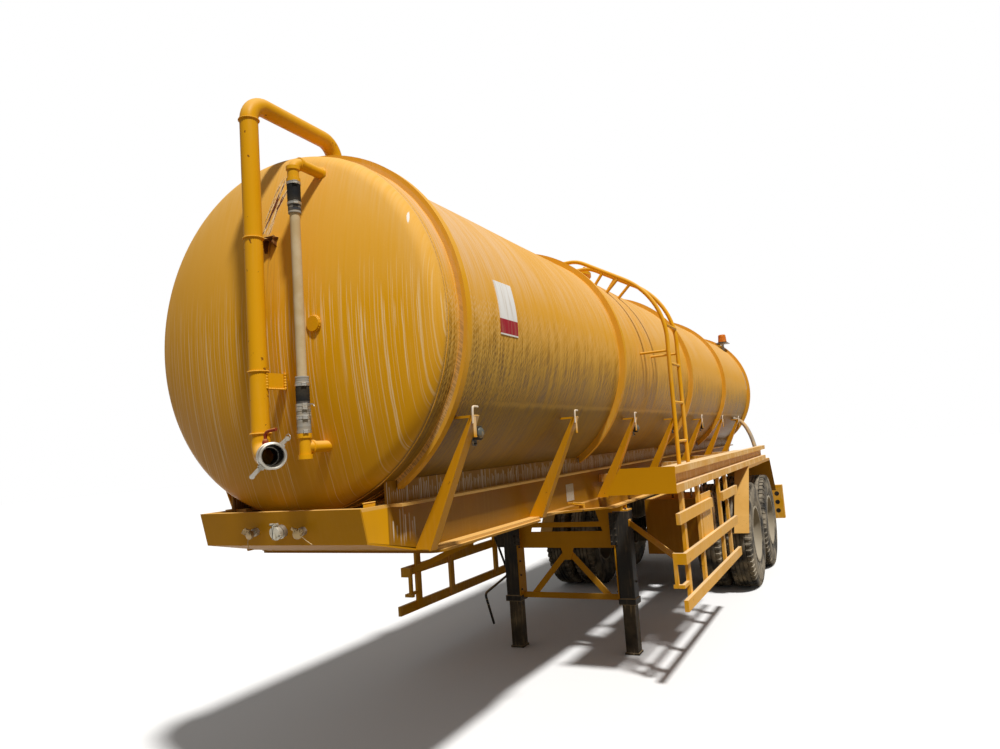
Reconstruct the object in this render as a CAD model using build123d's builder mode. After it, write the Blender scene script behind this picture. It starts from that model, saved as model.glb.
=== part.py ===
from build123d import *
import os
from math import asin, atan2, cos, degrees, hypot, radians, sin, sqrt

os.makedirs("parts", exist_ok=True)

# Tandem-axle tank semi-trailer for waste water, parked on its landing legs.
# Millimetres: +X forward, +Y to the trailer's left, +Z up, the ground at Z = 0,
# the origin under the middle of the overall length.

# Overall
half_width = 1250.0
front_ring_x = 4554.4
fit = 0.3

# Tank: a round shell with two dished heads
tank_radius = 900.0
tank_axis_z = 2457.0
front_seam_x = front_ring_x + 116.0
shell_length = 9306.0
crown_radius = 2200.0
knuckle_radius = 100.0
ring_height = 42.0
ring_width = 46.0
ring_setbacks = [0.0, 2415.0, 4824.0, 6848.0, 9077.0]

# Main beams
beam_y = 490.0
web_thickness = 12.0
flange_width = 150.0
flange_thickness = 14.0
beam_top_z = 1600.0
neck_bottom_z = 1347.0
frame_bottom_z = 1250.0
neck_end_x = front_ring_x - 1700.0
drop_end_x = front_ring_x - 3000.0
beam_overhang = 100.0

# Front box over the coupling
box_top_x = front_ring_x + 300.0
box_rake = 40.0
box_face_height = 160.0
box_plate = 8.0
slope_end_x = front_ring_x - 170.0

# Coupler plate and kingpin
coupler_half_width = 590.0
coupler_length = 1280.0
coupler_thickness = 12.0
kingpin_x = front_ring_x - 760.0
kingpin_neck_radius = 25.4
kingpin_neck_length = 35.0
kingpin_collar_radius = 36.5
kingpin_flange_radius = 85.0
kingpin_flange_height = 20.0
kingpin_root_length = 35.0
kingpin_end_length = 14.0

# Outriggers from the beams to the tank's flanks
gusset_first_x = front_ring_x - 120.0
gusset_pitch = 1331.0
gusset_count = 7
gusset_plate = 10.0
gusset_bar_width = 62.0
gusset_bar_thickness = 9.0
gusset_foot_y = 585.0
gusset_tip_y = 868.0
gusset_tip_z = 1985.0
gusset_tip_width = 30.0
gusset_tab = 12.0

# Walkways beside the tank
walkway_front_x = front_ring_x - 2350.0
walkway_rear_x = front_ring_x - 7580.0
walkway_top_z = 1594.0
walkway_bottom_z = 1406.0
walkway_width = 412.0
walkway_inner_y = half_width - walkway_width
rail_depth = 58.0
rail_top_flange = 50.0
rail_bottom_flange = 58.0
walkway_web = 10.0
walkway_deck = 6.0
deck_top_z = walkway_top_z - 45.0
end_plate = 8.0
end_plate_rise = 6.0
end_plate_splay = 130.0
bearer_size = 60.0
bearer_setbacks = [2880.0, 3560.0, 4800.0, 6300.0, 7450.0]

# Wheels
tyre_radius = 600.0
tyre_width = 295.0
tyre_bead_radius = 305.0
tyre_bead_width = 216.0
shoulder_drop = 50.0
dual_spacing = 335.0
axle_setbacks = {"front": 6150.0, "rear": 7500.0}
rim_thickness = 9.0
rim_clearance = 7.0
rim_lip_height = 16.0
rim_lip_width = 8.0
disc_thickness = 12.0
hub_radius = 112.0
hub_nose = 120.0
spindle_radius = 45.0
bearing_gap = 0.06
drum_radius = 205.0
drum_width = 170.0
hub_cap_radius = 66.0
hub_cap_length = 16.0
drum_wall = 22.0
hand_hole_radius = 30.0
hand_hole_count = 8

# Landing legs
leg_x = front_ring_x - 3250.0
leg_y = 540.0
leg_outer = 136.0
leg_inner = 106.0
leg_wall = 12.0
leg_top_z = 1205.0
leg_collar_z = 415.0
leg_collar_height = 50.0
leg_collar_step = 7.0
foot_thickness = 16.0
foot_size = 124.0

tank_length_axis = Axis((0, 0, tank_axis_z), (1, 0, 0))
rear_seam_x = front_seam_x - shell_length
beam_rear_x = rear_seam_x - beam_overhang
ring_stations = [front_ring_x - setback for setback in ring_setbacks]
gusset_stations = [gusset_first_x - i * gusset_pitch for i in range(gusset_count)]
sides = (1, -1)


def side_plane(y):
    """Upright lengthwise plane at y: local x is +X and local y is +Z."""
    return Plane(origin=(0, y, 0), x_dir=(1, 0, 0), z_dir=(0, -1, 0))


def cross_plane(x):
    """Upright crosswise plane at x: local x is +Y and local y is +Z."""
    return Plane(origin=(x, 0, 0), x_dir=(0, 1, 0), z_dir=(1, 0, 0))


def folded_plate(points, thickness):
    """Closed outline of a folded plate: a line of points and its mitred copy to the left."""
    directions = [Vector(b[0] - a[0], b[1] - a[1]).normalized() for a, b in zip(points, points[1:])]
    normals = [Vector(-d.Y, d.X) for d in directions]
    before = [normals[0]] + normals
    after = normals + [normals[-1]]
    offsets = [(a + b) * (thickness / (1 + a.dot(b))) for a, b in zip(before, after)]
    inner = [(p[0] + o.X, p[1] + o.Y) for p, o in zip(points, offsets)]
    return points + inner[::-1]


def save(builder, name):
    """Label a finished piece and write its STEP file."""
    builder.part.label = name
    export_step(builder.part, f"parts/{name}.step")


# The space that the tank's shell takes, used to cut what is seated on it.
with BuildPart() as tank_space:
    with BuildSketch(cross_plane(rear_seam_x)):
        with Locations((0, tank_axis_z)):
            Circle(tank_radius + fit)
    extrude(amount=shell_length)

# Tank: half of its lengthwise section, turned about its axis. Each head is a
# large crown arc that meets a small knuckle arc, which runs into the shell.
knuckle_height = tank_radius - knuckle_radius
crown_centre_reach = sqrt((crown_radius - knuckle_radius) ** 2 - knuckle_height ** 2)
crown_angle = degrees(asin(knuckle_height / (crown_radius - knuckle_radius)))
head_depth = crown_radius - crown_centre_reach
tank_section = Plane(origin=(0, 0, tank_axis_z), x_dir=(1, 0, 0), z_dir=(0, -1, 0))
front_crown_x = front_seam_x - crown_centre_reach
rear_crown_x = rear_seam_x + crown_centre_reach
with BuildPart() as tank_shell:
    with BuildSketch(tank_section):
        with BuildLine():
            CenterArc((front_crown_x, 0), crown_radius, 0, crown_angle)
            CenterArc((front_seam_x, knuckle_height), knuckle_radius, crown_angle, 90 - crown_angle)
            Line((front_seam_x, tank_radius), (rear_seam_x, tank_radius))
            CenterArc((rear_seam_x, knuckle_height), knuckle_radius, 90, 90 - crown_angle)
            CenterArc((rear_crown_x, 0), crown_radius, 180 - crown_angle, crown_angle)
            Line((rear_crown_x - crown_radius, 0), (front_crown_x + crown_radius, 0))
        make_face()
    revolve(axis=tank_length_axis)
save(tank_shell, "tank_shell")


def head_reach(radius):
    """How far a head stands beyond its seam at this distance from the tank's axis."""
    return sqrt(crown_radius ** 2 - radius ** 2) - crown_centre_reach


# Stiffener rings welded round the shell. They end at the saddle plates.
ring_end_y = beam_y + web_thickness / 2 + 9.0
with BuildPart() as stiffener_rings:
    with BuildSketch(tank_section):
        with Locations([(x, tank_radius + fit) for x in ring_stations]):
            Rectangle(ring_width, ring_height, align=(Align.CENTER, Align.MIN))
    revolve(axis=tank_length_axis)
    with BuildSketch(cross_plane(rear_seam_x)):
        with Locations((0, tank_axis_z)):
            Rectangle(2 * ring_end_y, tank_radius + 2 * ring_height, align=(Align.CENTER, Align.MAX))
    extrude(amount=shell_length, mode=Mode.SUBTRACT)
save(stiffener_rings, "stiffener_rings")

# Saddle plates stand on the beams and follow the shell's underside.
saddle_front_x = front_seam_x - 16.0
saddle_rear_x = rear_seam_x + 20.0
saddle_height = tank_axis_z - beam_top_z - sqrt(tank_radius ** 2 - beam_y ** 2) + 12.0
with BuildPart() as saddle_plates:
    for side in sides:
        with BuildSketch(side_plane(side * beam_y)):
            with Locations((saddle_rear_x, beam_top_z)):
                Rectangle(saddle_front_x - saddle_rear_x, saddle_height, align=(Align.MIN, Align.MIN))
        extrude(amount=web_thickness / 2, both=True)
    add(tank_space.part, mode=Mode.SUBTRACT)
save(saddle_plates, "saddle_plates")

# Main beams: a plate web with a top flange and a bottom flange that drops
# behind the neck. Ahead of the flanges the web tapers up to the front box.
web_outline = [
    (box_top_x - box_plate, beam_top_z),
    (box_top_x - box_rake - box_plate, beam_top_z - box_face_height + box_plate),
    (slope_end_x, neck_bottom_z + flange_thickness),
    (neck_end_x, neck_bottom_z + flange_thickness),
    (drop_end_x, frame_bottom_z + flange_thickness),
    (beam_rear_x, frame_bottom_z + flange_thickness),
    (beam_rear_x, beam_top_z),
]
flange_path = [
    (slope_end_x, neck_bottom_z),
    (neck_end_x, neck_bottom_z),
    (drop_end_x, frame_bottom_z),
    (beam_rear_x, frame_bottom_z),
]
flange_return = [(x, z + flange_thickness) for x, z in reversed(flange_path)]
top_flange_front_x = front_ring_x + 80.0
with BuildPart() as chassis_beams:
    for side in sides:
        with BuildSketch(side_plane(side * beam_y)):
            with BuildLine():
                Polyline(web_outline, close=True)
            make_face()
        extrude(amount=web_thickness / 2, both=True)
        with BuildSketch(side_plane(side * beam_y)):
            with BuildLine():
                Polyline(flange_path + flange_return, close=True)
            make_face()
            with Locations((beam_rear_x, beam_top_z)):
                Rectangle(top_flange_front_x - beam_rear_x, flange_thickness, align=(Align.MIN, Align.MAX))
        extrude(amount=flange_width / 2, both=True)
save(chassis_beams, "chassis_beams")

# Crosswise plates carry the shell between the beams, coped round the top flanges,
# with plain cross members at the legs, the suspension and the rear end.
bolster_bottom_z = neck_bottom_z + 60.0
between_webs = 2 * beam_y - web_thickness
cope = 1.5
cross_member_setbacks = [1950.0, 3250.0, 5450.0, 6825.0, 8190.0, 9230.0]
cross_member_height = 110.0
cross_member_width = 80.0
with BuildPart() as cross_members:
    for x in gusset_stations:
        with BuildSketch(cross_plane(x)):
            with Locations((0, bolster_bottom_z)):
                Rectangle(between_webs, tank_axis_z - bolster_bottom_z, align=(Align.CENTER, Align.MIN))
            with Locations((0, tank_axis_z)):
                Circle(tank_radius + fit, mode=Mode.SUBTRACT)
            with Locations([(side * beam_y, beam_top_z - flange_thickness / 2) for side in sides]):
                Rectangle(flange_width + 2 * cope, flange_thickness + 2 * cope, mode=Mode.SUBTRACT)
            with Locations((0, beam_top_z + saddle_height)):
                Rectangle(2 * tank_radius, tank_radius, align=(Align.CENTER, Align.MIN), mode=Mode.SUBTRACT)
        extrude(amount=gusset_plate / 2, both=True)
    for setback in cross_member_setbacks:
        member_z = frame_bottom_z if setback > 3000 else neck_bottom_z
        with BuildSketch(cross_plane(front_ring_x - setback)):
            with Locations((0, member_z + flange_thickness + cope)):
                Rectangle(between_webs, cross_member_height, align=(Align.CENTER, Align.MIN))
        extrude(amount=cross_member_width / 2, both=True)
save(cross_members, "cross_members")

# Front box: a raked face with folded edges and a sloping underside between the webs.
box_half_width = beam_y + web_thickness / 2
face_bottom_x = box_top_x - box_rake
face_bottom_z = beam_top_z - box_face_height
box_lip = 45.0
with BuildPart() as coupler_box:
    with BuildSketch(side_plane(0)):
        with BuildLine():
            Polyline(
                (box_top_x, beam_top_z),
                (face_bottom_x, face_bottom_z),
                (slope_end_x, neck_bottom_z),
                (slope_end_x, neck_bottom_z + box_plate),
                (face_bottom_x - box_plate, face_bottom_z + box_plate),
                (box_top_x - box_plate, beam_top_z - box_plate),
                (box_top_x - box_lip, beam_top_z - box_plate),
                (box_top_x - box_lip, beam_top_z),
                close=True,
            )
        make_face()
    extrude(amount=box_half_width, both=True)
    add(chassis_beams.part, mode=Mode.SUBTRACT)
save(coupler_box, "coupler_box")

# Coupler plate: the flat rubbing face that rests on a towing vehicle.
coupler_rear_x = slope_end_x - coupler_length
coupler_z = neck_bottom_z - coupler_thickness
with BuildPart() as coupler_plate:
    with BuildSketch(Plane.XY.offset(coupler_z)):
        with Locations(((slope_end_x + coupler_rear_x) / 2, 0)):
            RectangleRounded(coupler_length, 2 * coupler_half_width, 60)
        with Locations((kingpin_x, 0)):
            Circle(kingpin_collar_radius + fit, mode=Mode.SUBTRACT)
    extrude(amount=coupler_thickness)
save(coupler_plate, "coupler_plate")

# Kingpin: a flange on top of the plate, a root through it, the narrow locking
# neck and an end collar. Each point is a distance from the pin's axis and a height.
kingpin_profile = [
    (0, neck_bottom_z + kingpin_flange_height),
    (kingpin_flange_radius, neck_bottom_z + kingpin_flange_height),
    (kingpin_flange_radius, neck_bottom_z),
    (kingpin_collar_radius, neck_bottom_z),
    (kingpin_collar_radius, coupler_z - kingpin_root_length),
    (kingpin_neck_radius, coupler_z - kingpin_root_length),
    (kingpin_neck_radius, coupler_z - kingpin_root_length - kingpin_neck_length),
    (kingpin_collar_radius, coupler_z - kingpin_root_length - kingpin_neck_length),
    (kingpin_collar_radius, coupler_z - kingpin_root_length - kingpin_neck_length - kingpin_end_length),
    (0, coupler_z - kingpin_root_length - kingpin_neck_length - kingpin_end_length),
]
kingpin_axis = Axis((kingpin_x, 0, 0), (0, 0, 1))
with BuildPart() as kingpin:
    with BuildSketch(side_plane(0)):
        with BuildLine():
            Polyline([(kingpin_x + r, z) for r, z in kingpin_profile], close=True)
        make_face()
    revolve(axis=kingpin_axis)
    chamfer(kingpin.faces().sort_by(Axis.Z)[0].edges(), 4)
save(kingpin, "kingpin")

# Outriggers: each is a slender upright plate from the beam, with a flat bar along
# its sloping outer edge and a narrow tab from its tip to the shell.
web_face_y = beam_y + web_thickness / 2
gusset_foot_z = neck_bottom_z + flange_thickness
flange_edge_y = beam_y + flange_width / 2
gusset_tab_y = sqrt(tank_radius ** 2 - (tank_axis_z - gusset_tip_z) ** 2) - 20.0
gusset_run = hypot(gusset_tip_y - gusset_foot_y, gusset_tip_z - gusset_foot_z)
gusset_normal = ((gusset_tip_z - gusset_foot_z) / gusset_run, (gusset_foot_y - gusset_tip_y) / gusset_run)


def gusset_edge_y(z):
    """How far out the outer face of the outriggers' bars stands at this height."""
    slope = (gusset_tip_y - gusset_foot_y) / (gusset_tip_z - gusset_foot_z)
    return gusset_foot_y + (z - gusset_foot_z) * slope + gusset_bar_thickness / gusset_normal[0]


def gusset_bar_outline(side):
    """The bar's section along the sloping edge, from its foot to its tip."""
    shift = [n * gusset_bar_thickness for n in gusset_normal]
    foot, tip = (gusset_foot_y, gusset_foot_z), (gusset_tip_y, gusset_tip_z)
    outer_tip, outer_foot = [(y + shift[0], z + shift[1]) for y, z in (tip, foot)]
    return [(side * y, z) for y, z in (foot, tip, outer_tip, outer_foot)]


with BuildPart() as gussets:
    for side in sides:
        for x in gusset_stations:
            with BuildSketch(cross_plane(x)):
                with BuildLine():
                    Polyline(
                        (side * web_face_y, gusset_foot_z),
                        (side * gusset_foot_y, gusset_foot_z),
                        (side * gusset_tip_y, gusset_tip_z),
                        (side * gusset_tab_y, gusset_tip_z),
                        (side * gusset_tab_y, gusset_tip_z - gusset_tab),
                        (side * (gusset_tip_y - gusset_tip_width), gusset_tip_z - gusset_tab),
                        (side * web_face_y, gusset_foot_z + gusset_tab),
                        close=True,
                    )
                make_face()
                with Locations((0, tank_axis_z)):
                    Circle(tank_radius + fit, mode=Mode.SUBTRACT)
            extrude(amount=gusset_plate / 2, both=True)
            with BuildSketch(cross_plane(x)):
                with BuildLine():
                    Polyline(gusset_bar_outline(side), close=True)
                make_face()
            extrude(amount=gusset_bar_width / 2, both=True)
save(gussets, "gussets")

# Walkways: a deck plate, an outer channel with its flanges outward, an end
# plate and bearers back to the beams.
walkway_web_y = half_width - rail_depth
bearer_length = walkway_web_y - walkway_web - web_face_y
with BuildPart() as walkways:
    for side in sides:
        with BuildSketch(cross_plane(walkway_rear_x)):
            with BuildLine():
                Polyline(
                    [
                        (side * y, z)
                        for y, z in (
                            (walkway_inner_y, deck_top_z - walkway_deck),
                            (walkway_web_y - walkway_web, deck_top_z - walkway_deck),
                            (walkway_web_y - walkway_web, walkway_bottom_z),
                            (half_width, walkway_bottom_z),
                            (half_width, walkway_bottom_z + rail_bottom_flange),
                            (walkway_web_y, walkway_bottom_z + rail_bottom_flange),
                            (walkway_web_y, walkway_top_z - rail_top_flange),
                            (half_width, walkway_top_z - rail_top_flange),
                            (half_width, walkway_top_z),
                            (walkway_web_y - walkway_web, walkway_top_z),
                            (walkway_web_y - walkway_web, deck_top_z),
                            (walkway_inner_y, deck_top_z),
                        )
                    ],
                    close=True,
                )
            make_face()
        extrude(amount=walkway_front_x - walkway_rear_x)
        with BuildSketch(cross_plane(walkway_front_x)):
            with BuildLine():
                Polyline(
                    [
                        (side * walkway_inner_y, walkway_top_z + end_plate_rise),
                        (side * half_width, walkway_top_z + end_plate_rise),
                        (side * half_width, walkway_bottom_z),
                        (side * (walkway_inner_y - end_plate_splay), walkway_bottom_z),
                    ],
                    close=True,
                )
            make_face()
        extrude(amount=end_plate)
        for setback in bearer_setbacks:
            with BuildSketch(side_plane(side * web_face_y)):
                with Locations((front_ring_x - setback, deck_top_z - walkway_deck)):
                    Rectangle(bearer_size, bearer_size, align=(Align.CENTER, Align.MAX))
            extrude(amount=-side * bearer_length)
    add(chassis_beams.part, mode=Mode.SUBTRACT)
save(walkways, "walkways")

# Side guards: flat bars on uprights that hang from the walkways. Each row gives
# a bar's underside, its height and how far behind the front ring it begins and ends.
# The right guard hangs lower than the left one.
guard_thickness = 30.0
guard_bars = [
    {"z": 570.0, "height": 80.0, "front": 2370.0, "rear": 4850.0},
    {"z": 887.0, "height": 80.0, "front": 2440.0, "rear": 4800.0},
    {"z": 1180.0, "height": 80.0, "front": 2360.0, "rear": 3600.0},
    {"z": 1180.0, "height": 80.0, "front": 4110.0, "rear": 4960.0},
]
guard_uprights = [2640.0, 3215.0, 4140.0, 4530.0]
upright_width = 70.0
upright_thickness = 26.0
guard_inner_y = half_width - guard_thickness
upright_y = guard_inner_y - upright_thickness / 2
return_length = 100.0
step_height = 170.0
step_bar = 26.0
step_rear = 2640.0
guard_panel = {"front": 3270.0, "rear": 3690.0, "bottom": 905.0, "top": 1315.0, "thickness": 8.0}
guard_drops = {1: 0.0, -1: 130.0}
middle = guard_bars[1]
guard_return_x = front_ring_x - middle["front"] - guard_thickness
leg_side_y = leg_y + leg_outer / 2
with BuildPart() as side_guards:
    for side in sides:
        drop = guard_drops[side]
        for bar in guard_bars:
            with BuildSketch(side_plane(side * (half_width - guard_thickness / 2))):
                with Locations((front_ring_x - bar["rear"], bar["z"] - drop)):
                    Rectangle(bar["rear"] - bar["front"], bar["height"], align=(Align.MIN, Align.MIN))
            extrude(amount=guard_thickness / 2, both=True)
        for setback in guard_uprights:
            low_z = guard_bars[0]["z"] + guard_thickness - drop
            with BuildSketch(side_plane(side * upright_y)):
                with Locations((front_ring_x - setback, low_z)):
                    Rectangle(upright_width, walkway_bottom_z - low_z, align=(Align.CENTER, Align.MIN))
            extrude(amount=upright_thickness / 2, both=True)
        with BuildSketch(side_plane(side * (guard_inner_y - guard_panel["thickness"] / 2))):
            with Locations((front_ring_x - guard_panel["rear"], guard_panel["bottom"] - drop)):
                Rectangle(
                    guard_panel["rear"] - guard_panel["front"],
                    guard_panel["top"] - guard_panel["bottom"],
                    align=(Align.MIN, Align.MIN),
                )
        extrude(amount=guard_panel["thickness"] / 2, both=True)
        inward, outward = (Align.MAX, Align.MIN) if side > 0 else (Align.MIN, Align.MAX)
        with BuildSketch(cross_plane(guard_return_x)):
            with Locations((side * half_width, middle["z"] - drop)):
                Rectangle(return_length, middle["height"], align=(inward, Align.MIN))
            with Locations((side * (half_width - return_length), middle["z"] - step_height - drop)):
                Rectangle(step_bar, step_height, align=(outward, Align.MIN))
            with Locations((side * upright_y, middle["z"] - step_height - drop)):
                Rectangle(return_length - guard_thickness, step_bar, align=(inward, Align.MIN))
        extrude(amount=guard_thickness)
        with BuildSketch(side_plane(side * upright_y)):
            with Locations((front_ring_x - step_rear, middle["z"] - step_height - drop)):
                Rectangle(step_rear - middle["front"], step_bar, align=(Align.MIN, Align.MIN))
        extrude(amount=upright_thickness / 2, both=True)
save(side_guards, "side_guards")

# Mudguards: folded plates over the twin wheels. Only a strip beside the outer
# edge comes down in front. Each row is a distance behind the front ring and a height.
mudguard_plate = 5.0
mudguard_top_z = walkway_bottom_z - fit
mudguard_corners = [
    (5440.0, 700.0),
    (5550.0, 870.0),
    (5925.0, mudguard_top_z),
    (7960.0, mudguard_top_z),
    (8340.0, 920.0),
]
mudguard_gap = 4.0
mudguard_inner_y = gusset_edge_y(mudguard_top_z) + mudguard_gap
skirt_inner_y = 1092.0
mudguard_lip = 34.0
skirt_cut = 2 * (mudguard_corners[2][0] - mudguard_corners[0][0])
skirt_height = mudguard_corners[2][1] - mudguard_corners[0][1]
mudguard_line = [(front_ring_x - setback, z) for setback, z in mudguard_corners]
mudguard_width = half_width - mudguard_inner_y
with BuildPart() as mudguards:
    for side in sides:
        with BuildSketch(side_plane(side * half_width)):
            with BuildLine():
                Polyline(folded_plate(mudguard_line, mudguard_plate), close=True)
            make_face()
        extrude(amount=side * mudguard_width)
        with BuildSketch(side_plane(side * half_width)):
            with Locations(mudguard_line[3]):
                Rectangle(
                    mudguard_line[2][0] - mudguard_line[3][0],
                    mudguard_lip,
                    align=(Align.MIN, Align.MAX),
                )
        extrude(amount=side * mudguard_plate)
        with BuildSketch(side_plane(side * skirt_inner_y)):
            with Locations(mudguard_line[0]):
                Rectangle(skirt_cut, skirt_height, align=(Align.CENTER, Align.MIN))
        extrude(amount=side * (skirt_inner_y - mudguard_inner_y), mode=Mode.SUBTRACT)
save(mudguards, "mudguards")

# Tool box under the left walkway, behind the landing leg.
box_front_x = front_ring_x - 3600.0
tool_box_size = (760.0, 470.0, 480.0)
tool_box_inset = 140.0
tool_box_outer_y = half_width - tool_box_inset
tool_box_inner_y = tool_box_outer_y - tool_box_size[1]
tool_box_top_z = 1255.0
tool_box_strap = 50.0
tool_box_strap_thickness = 8.0
tool_box_strap_inset = 150.0
tool_box_corner = 12.0
tool_box_door_margin = 40.0
tool_box_door = 12.0
with BuildPart() as tool_box:
    with BuildSketch(Plane.XY.offset(tool_box_top_z)):
        with Locations((box_front_x - tool_box_size[0] / 2, tool_box_inner_y + tool_box_size[1] / 2)):
            Rectangle(tool_box_size[0], tool_box_size[1])
    extrude(amount=-tool_box_size[2])
    fillet(tool_box.edges().filter_by(Axis.Z), tool_box_corner)
    with BuildSketch(side_plane(tool_box_outer_y)):
        with Locations((box_front_x - tool_box_size[0] / 2, tool_box_top_z - tool_box_size[2] / 2)):
            Rectangle(
                tool_box_size[0] - 2 * tool_box_door_margin,
                tool_box_size[2] - 2 * tool_box_door_margin,
            )
    extrude(amount=-tool_box_door)
    for strap_y in (tool_box_outer_y - 240, tool_box_outer_y - 70):
        for strap_x in (
            box_front_x - tool_box_strap_inset,
            box_front_x - tool_box_size[0] + tool_box_strap_inset,
        ):
            with BuildSketch(Plane.XY.offset(tool_box_top_z)):
                with Locations((strap_x, strap_y)):
                    Rectangle(tool_box_strap, tool_box_strap_thickness)
            extrude(amount=deck_top_z - walkway_deck - tool_box_top_z)
save(tool_box, "tool_box")

# Landing legs: square tubes with a collar at the foot end and a cap under the beam.
with BuildPart() as leg_tubes:
    for side in sides:
        with BuildSketch(Plane.XY.offset(leg_collar_z)):
            with Locations((leg_x, side * leg_y)):
                RectangleRounded(leg_outer, leg_outer, 14)
                Rectangle(leg_outer - 2 * leg_wall, leg_outer - 2 * leg_wall, mode=Mode.SUBTRACT)
        extrude(amount=leg_top_z - leg_collar_z)
        with BuildSketch(Plane.XY.offset(leg_collar_z)):
            with Locations((leg_x, side * leg_y)):
                Rectangle(leg_outer + 2 * leg_collar_step, leg_outer + 2 * leg_collar_step)
                Rectangle(leg_outer - 2 * leg_wall, leg_outer - 2 * leg_wall, mode=Mode.SUBTRACT)
        extrude(amount=leg_collar_height)
        with BuildSketch(Plane.XY.offset(leg_top_z)):
            with Locations((leg_x, side * leg_y)):
                Rectangle(leg_outer, leg_outer)
        extrude(amount=-leg_wall)
save(leg_tubes, "leg_tubes")

# Inner legs: they stand in the outer tubes on plain square feet.
leg_overlap = 280.0
leg_slide_gap = (leg_outer - 2 * leg_wall - leg_inner) / 2
with BuildPart() as leg_feet:
    for side in sides:
        with BuildSketch(Plane.XY):
            with Locations((leg_x, side * leg_y)):
                Rectangle(foot_size, foot_size)
        extrude(amount=foot_thickness)
        with BuildSketch(Plane.XY.offset(foot_thickness)):
            with Locations((leg_x, side * leg_y)):
                Rectangle(leg_inner, leg_inner)
        extrude(amount=leg_collar_z + leg_overlap - foot_thickness)
        with BuildSketch(Plane.XY.offset(leg_collar_z + leg_overlap)):
            with Locations((leg_x, side * leg_y)):
                Rectangle(leg_inner + 2 * leg_slide_gap - 2 * fit, leg_inner + 2 * leg_slide_gap - 2 * fit)
        extrude(amount=-30)
save(leg_feet, "leg_feet")

# Leg bracing: a plate up to the beam on the inner side of each leg, a deep cross
# plate, diagonals from its middle to a low angle bar, and a stay out to each side guard.
brace_plate = 10.0
cross_plate_top_z = 1030.0
cross_plate_bottom_z = 885.0
low_bar_z = 440.0
low_bar_height = 50.0
upper_bar_z = 1090.0
upper_bar_height = 45.0
diagonal_width = 52.0
diagonal_low_y = 372.0
diagonal_low_z = 455.0
diagonal_high_z = 860.0
leg_inner_face_y = leg_y - leg_outer / 2
collar_inner_y = leg_inner_face_y - leg_collar_step
bracket_top_y = 285.0
bracket_low_y = 385.0
lug_half = 60.0
lug_bottom_z = 780.0
stay_width = 52.0
stay_thickness = 8.0
stay_lug_width = 56.0
stay_start_z = 1102.0
stay_end_y = half_width - return_length + 25.0
stay_end_z = middle["z"] + middle["height"] / 2
stay_start_x = leg_x + leg_outer / 2 - stay_lug_width / 2
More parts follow.
